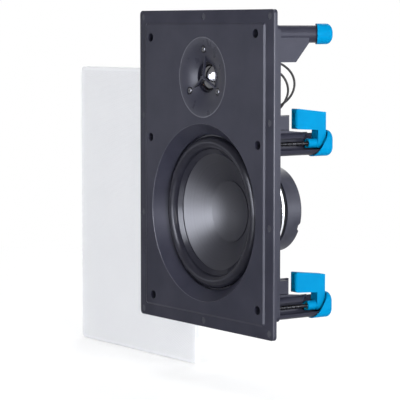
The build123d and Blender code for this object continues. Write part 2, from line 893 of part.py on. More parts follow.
# Tweeter waveguide: a shallow horn with a rim, a throat and a guard of three spokes
dish_start = waveguide_radius - waveguide_rim
dish_middle = panel_front + dish_middle_depth
throat_front = panel_front + dish_depth
throat_outer = throat_radius + waveguide_wall
skirt_inner = waveguide_radius - waveguide_skirt
spoke_front = panel_front + spoke_start
with BuildPart() as tweeter_waveguide:
    with BuildSketch(Plane.XY.offset(tweeter_z)):
        with BuildLine():
            Spline(
                (dish_start, panel_front),
                (dish_middle_radius, dish_middle),
                (throat_radius, throat_front),
            )
            Polyline(
                (throat_radius, throat_front),
                (throat_radius, throat_rear),
                (throat_outer, throat_rear),
                (throat_outer, throat_front + waveguide_wall),
            )
            Spline(
                (throat_outer, throat_front + waveguide_wall),
                (dish_middle_radius, dish_middle + waveguide_wall),
                (skirt_inner, panel_front + waveguide_wall),
            )
            Polyline(
                (skirt_inner, panel_front + waveguide_wall),
                (skirt_inner, ledge_face),
                (waveguide_radius, ledge_face),
                (waveguide_radius, panel_front),
                (dish_start, panel_front),
            )
        make_face()
    revolve(axis=tweeter_axis)
    collar_radius = counterbore_radius + counterbore_wall
    bars(tweeter_screw_spots, collar_radius, tweeter_screw_seat - boss_sink, ledge_face)
    bars(tweeter_screw_spots, counterbore_radius, panel_front, tweeter_screw_seat, Mode.SUBTRACT)
    bars(
        tweeter_screw_spots,
        tweeter_screw_radius + tweeter_screw_gap,
        tweeter_screw_seat,
        ledge_face,
        Mode.SUBTRACT,
    )
    bars([(0, tweeter_z)], spoke_hub_radius, spoke_front, spoke_front + spoke_depth)
    for angle in spoke_angles:
        along = radians(angle)
        spoke_side = Plane(
            origin=(0, 0, tweeter_z),
            x_dir=(cos(along), 0, sin(along)),
            z_dir=(-sin(along), 0, cos(along)),
        )
        with BuildSketch(spoke_side):
            outline(
                (0, spoke_front),
                (spoke_reach, panel_front + spoke_foot),
                (spoke_reach, panel_front + spoke_foot + spoke_foot_depth),
                (0, spoke_front + spoke_depth),
            )
        extrude(amount=spoke_width / 2, both=True)
save(tweeter_waveguide, "tweeter_waveguide")

with BuildPart() as tweeter_screws:
    head_front = tweeter_screw_seat - tweeter_screw_head_height
    bars(tweeter_screw_spots, tweeter_screw_head, head_front, tweeter_screw_seat)
    bars(tweeter_screw_spots, tweeter_screw_radius, tweeter_screw_seat, tweeter_screw_end)
save(tweeter_screws, "tweeter_screws")

# Dome, the roll round it and its coil
tweeter_lip_rear = throat_rear + tweeter_lip_wall
with BuildPart() as tweeter_dome:
    with BuildSketch(Plane.XY.offset(tweeter_z)):
        with BuildLine():
            for sink in (0, dome_wall):
                cap_profile(dome_radius - sink, tweeter_lip_rear, -(dome_height - sink))
            Line((0, tweeter_lip_rear - dome_height), (0, tweeter_lip_rear - dome_height + dome_wall))
            Line((dome_radius, tweeter_lip_rear), (dome_radius - dome_wall, tweeter_lip_rear))
        make_face()
    revolve(axis=tweeter_axis)
save(tweeter_dome, "tweeter_dome")

roll_inner = dome_radius + soft_gap
roll_outer = roll_inner + tweeter_roll
with BuildPart() as tweeter_surround:
    with BuildSketch(Plane.XY.offset(tweeter_z)):
        with BuildLine():
            Polyline(
                (roll_outer, throat_rear),
                (roll_outer + tweeter_lip, throat_rear),
                (roll_outer + tweeter_lip, tweeter_lip_rear),
                (roll_outer - tweeter_roll_wall, tweeter_lip_rear),
            )
            ThreePointArc(
                (roll_outer - tweeter_roll_wall, tweeter_lip_rear),
                ((roll_inner + roll_outer) / 2, tweeter_lip_rear - tweeter_roll_height),
                (roll_inner + tweeter_roll_wall, tweeter_lip_rear),
            )
            Polyline(
                (roll_inner + tweeter_roll_wall, tweeter_lip_rear),
                (roll_inner, tweeter_lip_rear),
                (roll_inner, throat_rear),
            )
            ThreePointArc(
                (roll_inner, throat_rear),
                ((roll_inner + roll_outer) / 2, throat_rear - tweeter_roll_height),
                (roll_outer, throat_rear),
            )
        make_face()
    revolve(axis=tweeter_axis)
save(tweeter_surround, "tweeter_surround")

with BuildPart() as tweeter_coil:
    ring(
        (0, tweeter_z),
        dome_radius,
        dome_radius - tweeter_coil_wall,
        tweeter_lip_rear,
        tweeter_lip_rear + tweeter_coil_length,
    )
save(tweeter_coil, "tweeter_coil")

# Motor of the tweeter: front plate, magnet slug, cup and the two tabs behind it
tweeter_plate_rear = tweeter_lip_rear + tweeter_plate_wall
cup_floor = tweeter_lip_rear + slug_drop + slug_height
cup_rear = cup_floor + cup_wall
tab_base_rear = cup_rear + tab_base_wall
tab_end = tab_base_rear + tab_length
with BuildPart() as tweeter_front_plate:
    ring(
        (0, tweeter_z),
        tweeter_plate_radius,
        dome_radius + tweeter_gap_width,
        tweeter_lip_rear,
        tweeter_plate_rear,
    )
save(tweeter_front_plate, "tweeter_front_plate")

with BuildPart() as tweeter_magnet:
    bars([(0, tweeter_z)], slug_radius, tweeter_lip_rear + slug_drop, cup_floor)
save(tweeter_magnet, "tweeter_magnet")

with BuildPart() as tweeter_cup:
    bars([(0, tweeter_z)], tweeter_plate_radius, tweeter_plate_rear, cup_rear)
    fillet(tweeter_cup.faces().sort_by(Axis.Y)[-1].edges(), cup_round)
    bars([(0, tweeter_z)], tweeter_plate_radius - cup_wall, tweeter_plate_rear, cup_floor, Mode.SUBTRACT)
save(tweeter_cup, "tweeter_cup")

with BuildPart() as tweeter_terminals:
    with BuildSketch(room_plane(cup_rear)):
        with Locations((0, tweeter_z)):
            Rectangle(2 * (tab_spread + tab_width), tab_base_height)
    extrude(amount=-tab_base_wall)
    with BuildSketch(room_plane(tab_base_rear)):
        with Locations((-tab_spread, tweeter_z), (tab_spread, tweeter_z)):
            Rectangle(tab_width, tab_wall)
    extrude(amount=-tab_length)
save(tweeter_terminals, "tweeter_terminals")

# Crossover board with its coil, capacitors and resistor
board_top = board_bottom + board_height
board_right = board_left + board_width
with BuildPart() as crossover_board:
    slab(board_left, board_right, board_bottom, board_top, board_y, board_rear)
    bars(board_spots, board_screw_radius + screw_gap, board_y, board_rear, Mode.SUBTRACT)
save(crossover_board, "crossover_board")

with BuildPart() as crossover_screws:
    bars(board_spots, board_screw_head, board_rear, board_rear + board_screw_head_height)
    bars(board_spots, board_screw_radius, board_y - board_screw_length, board_rear)
save(crossover_screws, "crossover_screws")

inductor_spot = (board_left + inductor_side, board_top - inductor_drop)
inductor_rear = board_rear + inductor_height
with BuildPart() as crossover_inductor:
    bars([inductor_spot], inductor_radius, board_rear, board_rear + inductor_cheek)
    bars([inductor_spot], inductor_radius - inductor_sink, board_rear, inductor_rear)
    bars([inductor_spot], inductor_radius, inductor_rear - inductor_cheek, inductor_rear)
    bars([inductor_spot], inductor_core, board_rear, inductor_rear, Mode.SUBTRACT)
save(crossover_inductor, "crossover_inductor")

# The capacitors lie on beads of glue
with BuildPart() as crossover_capacitors:
    for height in capacitor_heights:
        capacitor_z = board_bottom + height
        capacitor_left = board_left + capacitor_side
        with BuildSketch(Plane.YZ.offset(capacitor_left)):
            with Locations((board_rear + capacitor_radius, capacitor_z)):
                Circle(capacitor_radius)
        extrude(amount=capacitor_length)
        slab(
            capacitor_left + capacitor_bead,
            capacitor_left + capacitor_length - capacitor_bead,
            capacitor_z - capacitor_bead / 2,
            capacitor_z + capacitor_bead / 2,
            board_rear,
            board_rear + capacitor_radius,
        )
save(crossover_capacitors, "crossover_capacitors")

with BuildPart() as crossover_resistor:
    slab(
        board_right - resistor_edge - resistor_width,
        board_right - resistor_edge,
        board_bottom + resistor_lift,
        board_bottom + resistor_lift + resistor_length,
        board_rear,
        board_rear + resistor_height,
    )
    chamfer(crossover_resistor.faces().sort_by(Axis.Y)[-1].edges(), edge_round)
save(crossover_resistor, "crossover_resistor")

# Terminal block with two push buttons, each above the hole for its wire
block_x = board_left + board_width / 2
terminal_bottom = board_bottom + terminal_lift
terminal_middle = terminal_bottom + terminal_height / 2
terminal_rear = board_rear + terminal_depth
button_z = terminal_middle + button_lift
pocket_floor = terminal_rear - button_depth
button_spots = {"red": block_x - button_spread / 2, "black": block_x + button_spread / 2}
with BuildPart() as terminal_block:
    slab(
        block_x - terminal_width / 2,
        block_x + terminal_width / 2,
        terminal_bottom,
        terminal_bottom + terminal_height,
        board_rear,
        terminal_rear,
    )
    for button_x in button_spots.values():
        slab(
            button_x - button_width / 2 - button_gap,
            button_x + button_width / 2 + button_gap,
            button_z - button_height / 2 - button_gap,
            button_z + button_height / 2 + button_gap,
            pocket_floor,
            terminal_rear,
            Mode.SUBTRACT,
        )
        wire_spot = (button_x, terminal_middle - wire_hole_drop)
        bars([wire_spot], wire_hole_radius, terminal_rear - wire_hole_depth, terminal_rear, Mode.SUBTRACT)
save(terminal_block, "terminal_block")

for colour, button_x in button_spots.items():
    with BuildPart() as terminal_button:
        slab(
            button_x - button_width / 2,
            button_x + button_width / 2,
            button_z - button_height / 2,
            button_z + button_height / 2,
            pocket_floor + button_travel + button_gap,
            terminal_rear + button_stand,
        )
        fillet(terminal_button.faces().sort_by(Axis.Y)[-1].edges(), button_round)
    save(terminal_button, f"terminal_button_{colour}")

# Leads from the board to the lugs of the woofer and the tabs of the tweeter
lug_end = basket_back + strip_height + lug_length
with BuildPart() as woofer_leads:
    for side, drop, route in woofer_lead_routes:
        pad_x = board_right - lead_edge
        pad_z = board_top - drop
        lug_x = strip_x - side * lug_spread * sin(radians(strip_angle))
        lug_z = strip_z + side * lug_spread * cos(radians(strip_angle))
        lead(
            "woofer_leads",
            [
                (pad_x, board_rear, pad_z),
                (pad_x, board_rear + lead_rise, pad_z),
                *route,
                (lug_x, lug_end + lug_rise, lug_z),
                (lug_x, lug_end, lug_z),
            ],
            lead_radius,
        )
save(woofer_leads, "woofer_leads")

with BuildPart() as tweeter_leads:
    for side, drop, route in tweeter_lead_routes:
        pad_x = board_left + lead_edge
        pad_z = board_top - drop
        lead(
            "tweeter_leads",
            [
                (side * tab_spread, tab_end, tweeter_z),
                (side * tab_spread, tab_end + lead_rise, tweeter_z),
                *route,
                (pad_x, board_rear + lead_rise, pad_z),
                (pad_x, board_rear, pad_z),
            ],
            lead_radius,
        )
save(tweeter_leads, "tweeter_leads")
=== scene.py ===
import bpy
import bmesh
import math
from mathutils import Matrix, Vector


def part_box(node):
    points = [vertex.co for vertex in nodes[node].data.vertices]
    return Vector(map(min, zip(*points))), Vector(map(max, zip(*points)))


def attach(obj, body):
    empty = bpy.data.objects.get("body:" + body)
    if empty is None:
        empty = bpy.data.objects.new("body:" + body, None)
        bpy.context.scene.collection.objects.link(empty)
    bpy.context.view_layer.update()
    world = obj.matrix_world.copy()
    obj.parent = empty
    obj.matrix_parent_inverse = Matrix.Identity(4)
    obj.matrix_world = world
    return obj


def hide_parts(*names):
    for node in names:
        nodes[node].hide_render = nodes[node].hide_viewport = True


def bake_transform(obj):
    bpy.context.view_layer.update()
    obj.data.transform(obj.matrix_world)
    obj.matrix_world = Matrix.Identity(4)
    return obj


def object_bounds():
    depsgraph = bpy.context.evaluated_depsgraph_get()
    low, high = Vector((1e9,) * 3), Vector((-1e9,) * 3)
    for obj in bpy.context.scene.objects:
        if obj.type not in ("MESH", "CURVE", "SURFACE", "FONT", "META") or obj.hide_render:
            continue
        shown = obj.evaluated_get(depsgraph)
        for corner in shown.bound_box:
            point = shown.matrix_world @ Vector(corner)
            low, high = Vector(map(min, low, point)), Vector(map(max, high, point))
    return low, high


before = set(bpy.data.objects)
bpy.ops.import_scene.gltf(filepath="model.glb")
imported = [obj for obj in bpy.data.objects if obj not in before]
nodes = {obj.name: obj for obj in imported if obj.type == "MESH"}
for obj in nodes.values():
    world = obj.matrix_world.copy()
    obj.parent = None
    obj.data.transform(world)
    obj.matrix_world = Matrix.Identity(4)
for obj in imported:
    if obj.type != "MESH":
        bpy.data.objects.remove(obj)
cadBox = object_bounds()
mm = 0.001

places = ("top_left", "middle_left", "bottom_left", "top_right", "middle_right", "bottom_right")


def middleOf(node):
    low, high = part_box(node)
    return (low + high) / 2


wooferMiddle = middleOf("woofer_front_plate")
tweeterMiddle = middleOf("tweeter_cup")

# finishes: one dictionary for each, with its colours in linear light

finishes = {
    "frameSatin": {
        "dark": (0.0145, 0.0149, 0.0240), "light": (0.0220, 0.0224, 0.0335), "patch": 26.0,
        "rough": 0.3, "grain": 2600.0, "bump": 0.02, "level": 0.045,
    },
    "hornSatin": {
        "dark": (0.0160, 0.0165, 0.0260), "light": (0.0200, 0.0205, 0.0310), "patch": 80.0,
        "rough": 0.28, "grain": 2600.0, "bump": 0.01, "level": 0.08,
    },
    # lighter copies of the frame's satin for the rounded edge beads: their lighter colour is a painted
    # highlight along each edge
    "paintedHighlightSatin": {
        "dark": (0.0450, 0.0460, 0.0600), "light": (0.0600, 0.0610, 0.0780), "patch": 60.0,
        "rough": 0.28, "grain": 2600.0, "bump": 0.01, "level": 0.2,
    },
    "paintedHighlightBright": {
        "dark": (0.0800, 0.0820, 0.0980), "light": (0.1050, 0.1070, 0.1260), "patch": 60.0,
        "rough": 0.3, "grain": 2600.0, "bump": 0.01, "level": 0.3,
    },
    "headSteel": {
        "dark": (0.0400, 0.0400, 0.0440), "light": (0.0580, 0.0580, 0.0630), "patch": 300.0,
        "rough": 0.22, "grain": 2400.0, "bump": 0.02, "level": 0.5, "metal": 0.9,
    },
    "clampBlue": {
        "dark": (0.0003, 0.1460, 0.3120), "light": (0.0004, 0.1600, 0.3320), "patch": 70.0,
        "rough": 0.38, "grain": 1500.0, "bump": 0.03, "level": 0.005,
    },
    "coverPaint": {
        "dark": (0.7200, 0.7280, 0.7460), "light": (0.7450, 0.7520, 0.7680), "patch": 18.0,
        "rough": 0.62, "grain": 3200.0, "bump": 0.04, "level": 0.04,
    },
    # darker discs on the white cover stand for its holes: painted shade inside them
    "holeShade": {
        "dark": (0.4400, 0.4450, 0.4600), "light": (0.5000, 0.5050, 0.5200), "patch": 40.0,
        "rough": 0.8, "grain": 1800.0, "bump": 0.02, "level": 0.05,
    },
    "rollRubber": {
        "dark": (0.0110, 0.0110, 0.0165), "light": (0.0140, 0.0140, 0.0205), "patch": 120.0,
        "rough": 0.2, "grain": 3000.0, "bump": 0.006, "level": 0.05,
    },
    "bootRubber": {
        "dark": (0.0200, 0.0206, 0.0310), "light": (0.0280, 0.0288, 0.0410), "patch": 90.0,
        "rough": 0.44, "grain": 1800.0, "bump": 0.05, "level": 0.15,
    },
    "basketPaint": {
        "dark": (0.0100, 0.0100, 0.0120), "light": (0.0200, 0.0200, 0.0240), "patch": 90.0,
        "rough": 0.5, "grain": 1400.0, "bump": 0.1, "level": 0.08,
    },
    "blackPlate": {
        "dark": (0.0080, 0.0080, 0.0100), "light": (0.0160, 0.0160, 0.0190), "patch": 300.0,
        "rough": 0.26, "grain": 2400.0, "bump": 0.02, "level": 0.3, "metal": 0.35,
    },
    "zincPlate": {
        "dark": (0.600, 0.610, 0.640), "light": (0.780, 0.790, 0.810), "patch": 140.0,
        "rough": 0.28, "grain": 2200.0, "bump": 0.05, "level": 0.5, "metal": 1.0,
    },
    "magnetDark": {
        "dark": (0.0240, 0.0250, 0.0330), "light": (0.0340, 0.0350, 0.0440), "patch": 300.0,
        "rough": 0.45, "grain": 2600.0, "bump": 0.04, "level": 0.08,
    },
    "ferriteGrey": {
        "dark": (0.0120, 0.0120, 0.0130), "light": (0.0260, 0.0260, 0.0280), "patch": 260.0,
        "rough": 0.7, "grain": 900.0, "bump": 0.2, "level": 0.06,
    },
    "spiderCloth": {
        "dark": (0.330, 0.200, 0.060), "light": (0.520, 0.350, 0.130), "patch": 900.0,
        "rough": 0.85, "grain": 1200.0, "bump": 0.5, "level": 0.2,
    },
    "coilCopper": {
        "dark": (0.420, 0.150, 0.060), "light": (0.660, 0.270, 0.110), "patch": 500.0,
        "rough": 0.32, "grain": 1600.0, "bump": 0.1, "level": 0.5, "metal": 1.0,
    },
    "fibreBrown": {
        "dark": (0.090, 0.045, 0.020), "light": (0.150, 0.080, 0.038), "patch": 500.0,
        "rough": 0.65, "grain": 1600.0, "bump": 0.15, "level": 0.4,
    },
    "braidBrass": {
        "dark": (0.500, 0.350, 0.150), "light": (0.690, 0.510, 0.250), "patch": 700.0,
        "rough": 0.35, "grain": 2600.0, "bump": 0.12, "level": 0.5, "metal": 1.0,
    },
    "domeFoil": {
        "dark": (0.1000, 0.1000, 0.1080), "light": (0.1250, 0.1250, 0.1330), "patch": 200.0,
        "rough": 0.13, "grain": 1800.0, "bump": 0.02, "level": 0.5, "metal": 1.0,
    },
    "boardGreen": {
        "dark": (0.010, 0.060, 0.022), "light": (0.016, 0.085, 0.032), "patch": 160.0,
        "rough": 0.35, "grain": 2200.0, "bump": 0.06, "level": 0.5,
    },
    "filmYellow": {
        "dark": (0.520, 0.380, 0.040), "light": (0.640, 0.480, 0.070), "patch": 180.0,
        "rough": 0.3, "grain": 1200.0, "bump": 0.04, "level": 0.5,
    },
    "cementCream": {
        "dark": (0.600, 0.580, 0.520), "light": (0.720, 0.700, 0.640), "patch": 400.0,
        "rough": 0.85, "grain": 900.0, "bump": 0.25, "level": 0.3,
    },
    "leadSleeve": {
        "dark": (0.0220, 0.0210, 0.0230), "light": (0.0460, 0.0440, 0.0460), "patch": 120.0,
        "rough": 0.45, "grain": 1800.0, "bump": 0.05, "level": 0.1,
    },
    "pushRed": {
        "dark": (0.420, 0.012, 0.012), "light": (0.520, 0.022, 0.020), "patch": 160.0,
        "rough": 0.3, "grain": 1800.0, "bump": 0.03, "level": 0.5,
    },
    "pushBlack": {
        "dark": (0.0080, 0.0080, 0.0090), "light": (0.0160, 0.0160, 0.0180), "patch": 160.0,
        "rough": 0.34, "grain": 1800.0, "bump": 0.04, "level": 0.25,
    },
}


# what all of these finishes share: soft patches of tone, uneven gloss and a fine grain
surface = {
    "patchDetail": 4.0, "darkUpTo": 0.32, "lightFrom": 0.68, "glossier": 0.05, "duller": 0.06,
    "grainDetail": 2.0, "grainDepth": 0.0003,
}


def link(tree, fromSocket, toSocket):
    tree.links.new(fromSocket, toSocket)


def mouldedFinish(name):
    values = finishes[name]
    material = bpy.data.materials.new(name)
    material.use_nodes = True
    tree = material.node_tree
    shader = tree.nodes["Principled BSDF"]
    place = tree.nodes.new("ShaderNodeTexCoord")
    cloud = tree.nodes.new("ShaderNodeTexNoise")
    cloud.inputs["Scale"].default_value = values["patch"]
    cloud.inputs["Detail"].default_value = surface["patchDetail"]
    link(tree, place.outputs["Object"], cloud.inputs["Vector"])
    ramp = tree.nodes.new("ShaderNodeValToRGB")
    ramp.color_ramp.elements[0].position = surface["darkUpTo"]
    ramp.color_ramp.elements[0].color = (*values["dark"], 1)
    ramp.color_ramp.elements[1].position = surface["lightFrom"]
    ramp.color_ramp.elements[1].color = (*values["light"], 1)
    link(tree, cloud.outputs["Fac"], ramp.inputs["Fac"])
    link(tree, ramp.outputs["Color"], shader.inputs["Base Color"])
    wear = tree.nodes.new("ShaderNodeMapRange")
    wear.inputs["To Min"].default_value = values["rough"] - surface["glossier"]
    wear.inputs["To Max"].default_value = values["rough"] + surface["duller"]
    link(tree, cloud.outputs["Fac"], wear.inputs["Value"])
    link(tree, wear.outputs["Result"], shader.inputs["Roughness"])
    grain = tree.nodes.new("ShaderNodeTexNoise")
    grain.inputs["Scale"].default_value = values["grain"]
    grain.inputs["Detail"].default_value = surface["grainDetail"]
    link(tree, place.outputs["Object"], grain.inputs["Vector"])
    bump = tree.nodes.new("ShaderNodeBump")
    bump.inputs["Strength"].default_value = values["bump"]
    bump.inputs["Distance"].default_value = surface["grainDepth"]
    link(tree, grain.outputs["Fac"], bump.inputs["Height"])
    link(tree, bump.outputs["Normal"], shader.inputs["Normal"])
    shader.inputs["Metallic"].default_value = values.get("metal", 0.0)
    shader.inputs["Specular IOR Level"].default_value = values["level"]
    return material


coneFinish = {
    "dark": (0.008, 0.008, 0.013), "light": (0.012, 0.012, 0.018), "rings": 700.0,
    "rough": 0.41, "level": 0.15, "bump": 0.003, "ringDetail": 3.0, "darkUpTo": 0.25, "lightFrom": 0.75,
    "ringDepth": 0.0002,
}


def spunCone(name):
    # faint rings round the middle of the woofer, as a pressed cone has
    material = bpy.data.materials.new(name)
    material.use_nodes = True
    tree = material.node_tree
    shader = tree.nodes["Principled BSDF"]
    place = tree.nodes.new("ShaderNodeTexCoord")
    centre = tree.nodes.new("ShaderNodeMapping")
    centre.inputs["Location"].default_value = (0, 0, -wooferMiddle.z)
    link(tree, place.outputs["Object"], centre.inputs["Vector"])
    flat = tree.nodes.new("ShaderNodeVectorMath")
    flat.operation = "MULTIPLY"
    flat.inputs[1].default_value = (1, 0, 1)
    link(tree, centre.outputs["Vector"], flat.inputs[0])
    reach = tree.nodes.new("ShaderNodeVectorMath")
    reach.operation = "LENGTH"
    link(tree, flat.outputs["Vector"], reach.inputs[0])
    rings = tree.nodes.new("ShaderNodeTexNoise")
    rings.noise_dimensions = "1D"
    rings.inputs["Scale"].default_value = coneFinish["rings"]
    rings.inputs["Detail"].default_value = coneFinish["ringDetail"]
    link(tree, reach.outputs["Value"], rings.inputs["W"])
    ramp = tree.nodes.new("ShaderNodeValToRGB")
    ramp.color_ramp.elements[0].position = coneFinish["darkUpTo"]
    ramp.color_ramp.elements[0].color = (*coneFinish["dark"], 1)
    ramp.color_ramp.elements[1].position = coneFinish["lightFrom"]
    ramp.color_ramp.elements[1].color = (*coneFinish["light"], 1)
    link(tree, rings.outputs["Fac"], ramp.inputs["Fac"])
    link(tree, ramp.outputs["Color"], shader.inputs["Base Color"])
    bump = tree.nodes.new("ShaderNodeBump")
    bump.inputs["Strength"].default_value = coneFinish["bump"]
    bump.inputs["Distance"].default_value = coneFinish["ringDepth"]
    link(tree, rings.outputs["Fac"], bump.inputs["Height"])
    link(tree, bump.outputs["Normal"], shader.inputs["Normal"])
    shader.inputs["Roughness"].default_value = coneFinish["rough"]
    shader.inputs["Specular IOR Level"].default_value = coneFinish["level"]
    return material


materials = {name: mouldedFinish(name) for name in finishes}
materials["spunCone"] = spunCone("spunCone")
print("finishes made:", len(materials))

nodeFinish = {
    "baffle_frame": "frameSatin", "grille": "coverPaint", "grille_magnets": "magnetDark",
    "woofer_basket": "basketPaint", "woofer_gasket": "rollRubber", "woofer_cone": "spunCone",
    "woofer_dust_cap": "spunCone", "voice_coil": "coilCopper", "spider": "spiderCloth",
    "woofer_front_plate": "zincPlate", "woofer_magnet": "ferriteGrey", "woofer_yoke": "zincPlate",
    "magnet_boot": "bootRubber", "woofer_terminal_strip": "fibreBrown", "tinsel_leads": "braidBrass",
    "tweeter_waveguide": "hornSatin", "tweeter_dome": "domeFoil", "tweeter_surround": "rollRubber",
    "tweeter_coil": "coilCopper", "tweeter_front_plate": "zincPlate", "tweeter_magnet": "zincPlate",
    "tweeter_cup": "zincPlate", "tweeter_terminals": "braidBrass", "crossover_board": "boardGreen",
    "crossover_inductor": "coilCopper", "crossover_capacitors": "filmYellow",
    "crossover_resistor": "cementCream", "terminal_block": "pushBlack",
    "terminal_button_red": "pushRed", "terminal_button_black": "pushBlack",
    "woofer_screws": "headSteel", "tweeter_screws": "headSteel", "crossover_screws": "zincPlate",
    "woofer_surround": "rollRubber", "woofer_leads": "leadSleeve", "tweeter_leads": "leadSleeve",
}
clampFinish = {
    "clamp_screw": "blackPlate", "clamp_nut": "braidBrass",
    "dog_leg": "clampBlue", "tower_cap": "clampBlue",
}
for place in places:
    for kind, finish in clampFinish.items():
        nodeFinish[f"{kind}_{place}"] = finish
for nodeName, finish in nodeFinish.items():
    mesh = nodes[nodeName].data
    mesh.materials.clear()
    mesh.materials.append(materials[finish])
print("nodes finished:", len(nodeFinish))

# node trees for what repeats or is swept along a path


def startTree(name, sizes):
    tree = bpy.data.node_groups.new(name, "GeometryNodeTree")
    tree.interface.new_socket(name="Geometry", in_out="INPUT", socket_type="NodeSocketGeometry")
    tree.interface.new_socket(name="Geometry", in_out="OUTPUT", socket_type="NodeSocketGeometry")
    for label in sizes:
        kind = "NodeSocketInt" if label.startswith("Count") else "NodeSocketFloat"
        tree.interface.new_socket(name=label, in_out="INPUT", socket_type=kind)
    return tree, tree.nodes.new("NodeGroupInput")


def addNode(tree, kind, **settings):
    node = tree.nodes.new(kind)
    for key, value in settings.items():
        setattr(node, key, value)
    return node


def mathNode(tree, operation, first, second):
    node = addNode(tree, "ShaderNodeMath", operation=operation)
    for socket, value in zip(node.inputs, (first, second)):
        if isinstance(value, (int, float)):
            socket.default_value = value
        else:
            link(tree, value, socket)
    return node.outputs["Value"]


def endTree(tree, geometry, material):
    # every tree ends in plain geometry that carries its own finish
    realize = addNode(tree, "GeometryNodeRealizeInstances")
    link(tree, geometry, realize.inputs["Geometry"])
    paint = addNode(tree, "GeometryNodeSetMaterial")
    paint.inputs["Material"].default_value = material
    link(tree, realize.outputs["Geometry"], paint.inputs["Geometry"])
    output = addNode(tree, "NodeGroupOutput")
    link(tree, paint.outputs["Geometry"], output.inputs["Geometry"])


def grow(name, tree, sizes, turn, start=None):
    # runs a tree on a mesh, keeps the result as a plain mesh and puts it in its place
    piece = bpy.data.objects.new(name, start or bpy.data.meshes.new(name + "Start"))
    bpy.context.scene.collection.objects.link(piece)
    modifier = piece.modifiers.new("grow", "NODES")
    modifier.node_group = tree
    for item in tree.interface.items_tree:
        if item.in_out == "INPUT" and item.name in sizes:
            modifier[item.identifier] = sizes[item.name]
    grown = bpy.data.meshes.new_from_object(piece.evaluated_get(bpy.context.evaluated_depsgraph_get()))
    piece.modifiers.remove(modifier)
    piece.data = grown
    grown.name = name
    grown.transform(turn)
    return piece


def towardsRoom(spot):
    # local z points into the room, local y points up
    return Matrix.Translation(spot) @ Matrix.Rotation(math.radians(90), 4, "X")


def intoWall(spot):
    # local z points into the wall
    return Matrix.Translation(spot) @ Matrix.Rotation(math.radians(-90), 4, "X")


def smoothFaces(mesh, angle):
    mesh.shade_smooth()
    mesh.set_sharp_from_angle(angle=math.radians(angle))


# screws: a turned head with a crossed recess, a core and a thread

screwHead = {
    "sides": 32, "dome": 0.55, "recess": 0.62, "recessDepth": 0.55, "recessFloor": 0.7,
    "slim": 0.34, "crossPower": 3, "crown": 0.8, "edge": 0.12, "edgeHeight": 0.92,
    "point": 0.5, "smooth": 35.0,
}


def crossedHead(name, radius, height, shankRadius, shankLength):
    # rings from the floor of the recess, over the dome and the edge, to the tip of the shank
    wide = screwHead["recess"] * radius
    deep = height * (1 - screwHead["recessDepth"])
    shoulder = height * screwHead["dome"]
    tip = -shankLength
    point = shankRadius * screwHead["point"]
    rings = [
        (wide * screwHead["recessFloor"], deep, True),
        (wide, height, True),
        (radius * screwHead["crown"], height, False),
        (radius * (1 - screwHead["edge"]), height * screwHead["edgeHeight"], False),
        (radius, shoulder, False),
        (radius, 0, False),
        (shankRadius, 0, False),
        (shankRadius, tip + point, False),
        (point, tip, False),
    ]
    sides = screwHead["sides"]
    shape = bmesh.new()
    rows = []
    for ringRadius, level, crossed in rings:
        row = []
        for i in range(sides):
            angle = 2 * math.pi * i / sides
            share = 1.0
            if crossed:
                arm = abs(math.cos(2 * angle)) ** screwHead["crossPower"]
                share = screwHead["slim"] + (1 - screwHead["slim"]) * arm
            row.append(shape.verts.new((
                ringRadius * share * math.cos(angle), ringRadius * share * math.sin(angle), level,
            )))
        rows.append(row)
    for lower, upper in zip(rows, rows[1:]):
        for i in range(sides):
            j = (i + 1) % sides
            shape.faces.new((lower[i], upper[i], upper[j], lower[j]))
    shape.faces.new(rows[0])
    shape.faces.new(rows[-1][::-1])
    bmesh.ops.recalc_face_normals(shape, faces=shape.faces)
    mesh = bpy.data.meshes.new(name)
    shape.to_mesh(mesh)
    shape.free()
    return mesh


def ringTree(material):
    tree, group = startTree("screwsOnRing", ("Count", "Ring Radius", "Start Angle"))
    ring = addNode(tree, "GeometryNodeMeshCircle")
    link(tree, group.outputs["Count"], ring.inputs["Vertices"])
    link(tree, group.outputs["Ring Radius"], ring.inputs["Radius"])
    spin = addNode(tree, "ShaderNodeCombineXYZ")
    link(tree, group.outputs["Start Angle"], spin.inputs["Z"])
    turned = addNode(tree, "GeometryNodeTransform")
    link(tree, ring.outputs["Mesh"], turned.inputs["Geometry"])
    link(tree, spin.outputs["Vector"], turned.inputs["Rotation"])
    copies = addNode(tree, "GeometryNodeInstanceOnPoints")
    link(tree, turned.outputs["Geometry"], copies.inputs["Points"])
    link(tree, group.outputs["Geometry"], copies.inputs["Instance"])
    endTree(tree, copies.outputs["Instances"], material)
    return tree


def gridTree(material):
    tree, group = startTree("screwsOnGrid", ("Width", "Height"))
    grid = addNode(tree, "GeometryNodeMeshGrid")
    grid.inputs["Vertices X"].default_value = 2
    grid.inputs["Vertices Y"].default_value = 2
    link(tree, group.outputs["Width"], grid.inputs["Size X"])
    link(tree, group.outputs["Height"], grid.inputs["Size Y"])
    copies = addNode(tree, "GeometryNodeInstanceOnPoints")
    link(tree, grid.outputs["Mesh"], copies.inputs["Points"])
    link(tree, group.outputs["Geometry"], copies.inputs["Instance"])
    endTree(tree, copies.outputs["Instances"], material)
    return tree


driverScrews = {
    "tweeterScrewHeads": {
        "node": "tweeter_screws", "slot": "black_steel", "count": 3, "startAngle": 90.0,
        "head": 3.2 * mm, "height": 2.2 * mm, "shank": 1.5 * mm, "fromRoom": True,
    },
    "wooferScrewHeads": {
        "node": "woofer_screws", "slot": "black_steel", "count": 4, "startAngle": 45.0,
        "head": 3.4 * mm, "height": 2.4 * mm, "shank": 1.8 * mm, "fromRoom": False,
    },
}
boardScrews = {"node": "crossover_screws", "head": 2.7 * mm, "height": 1.8 * mm, "shank": 1.4 * mm}


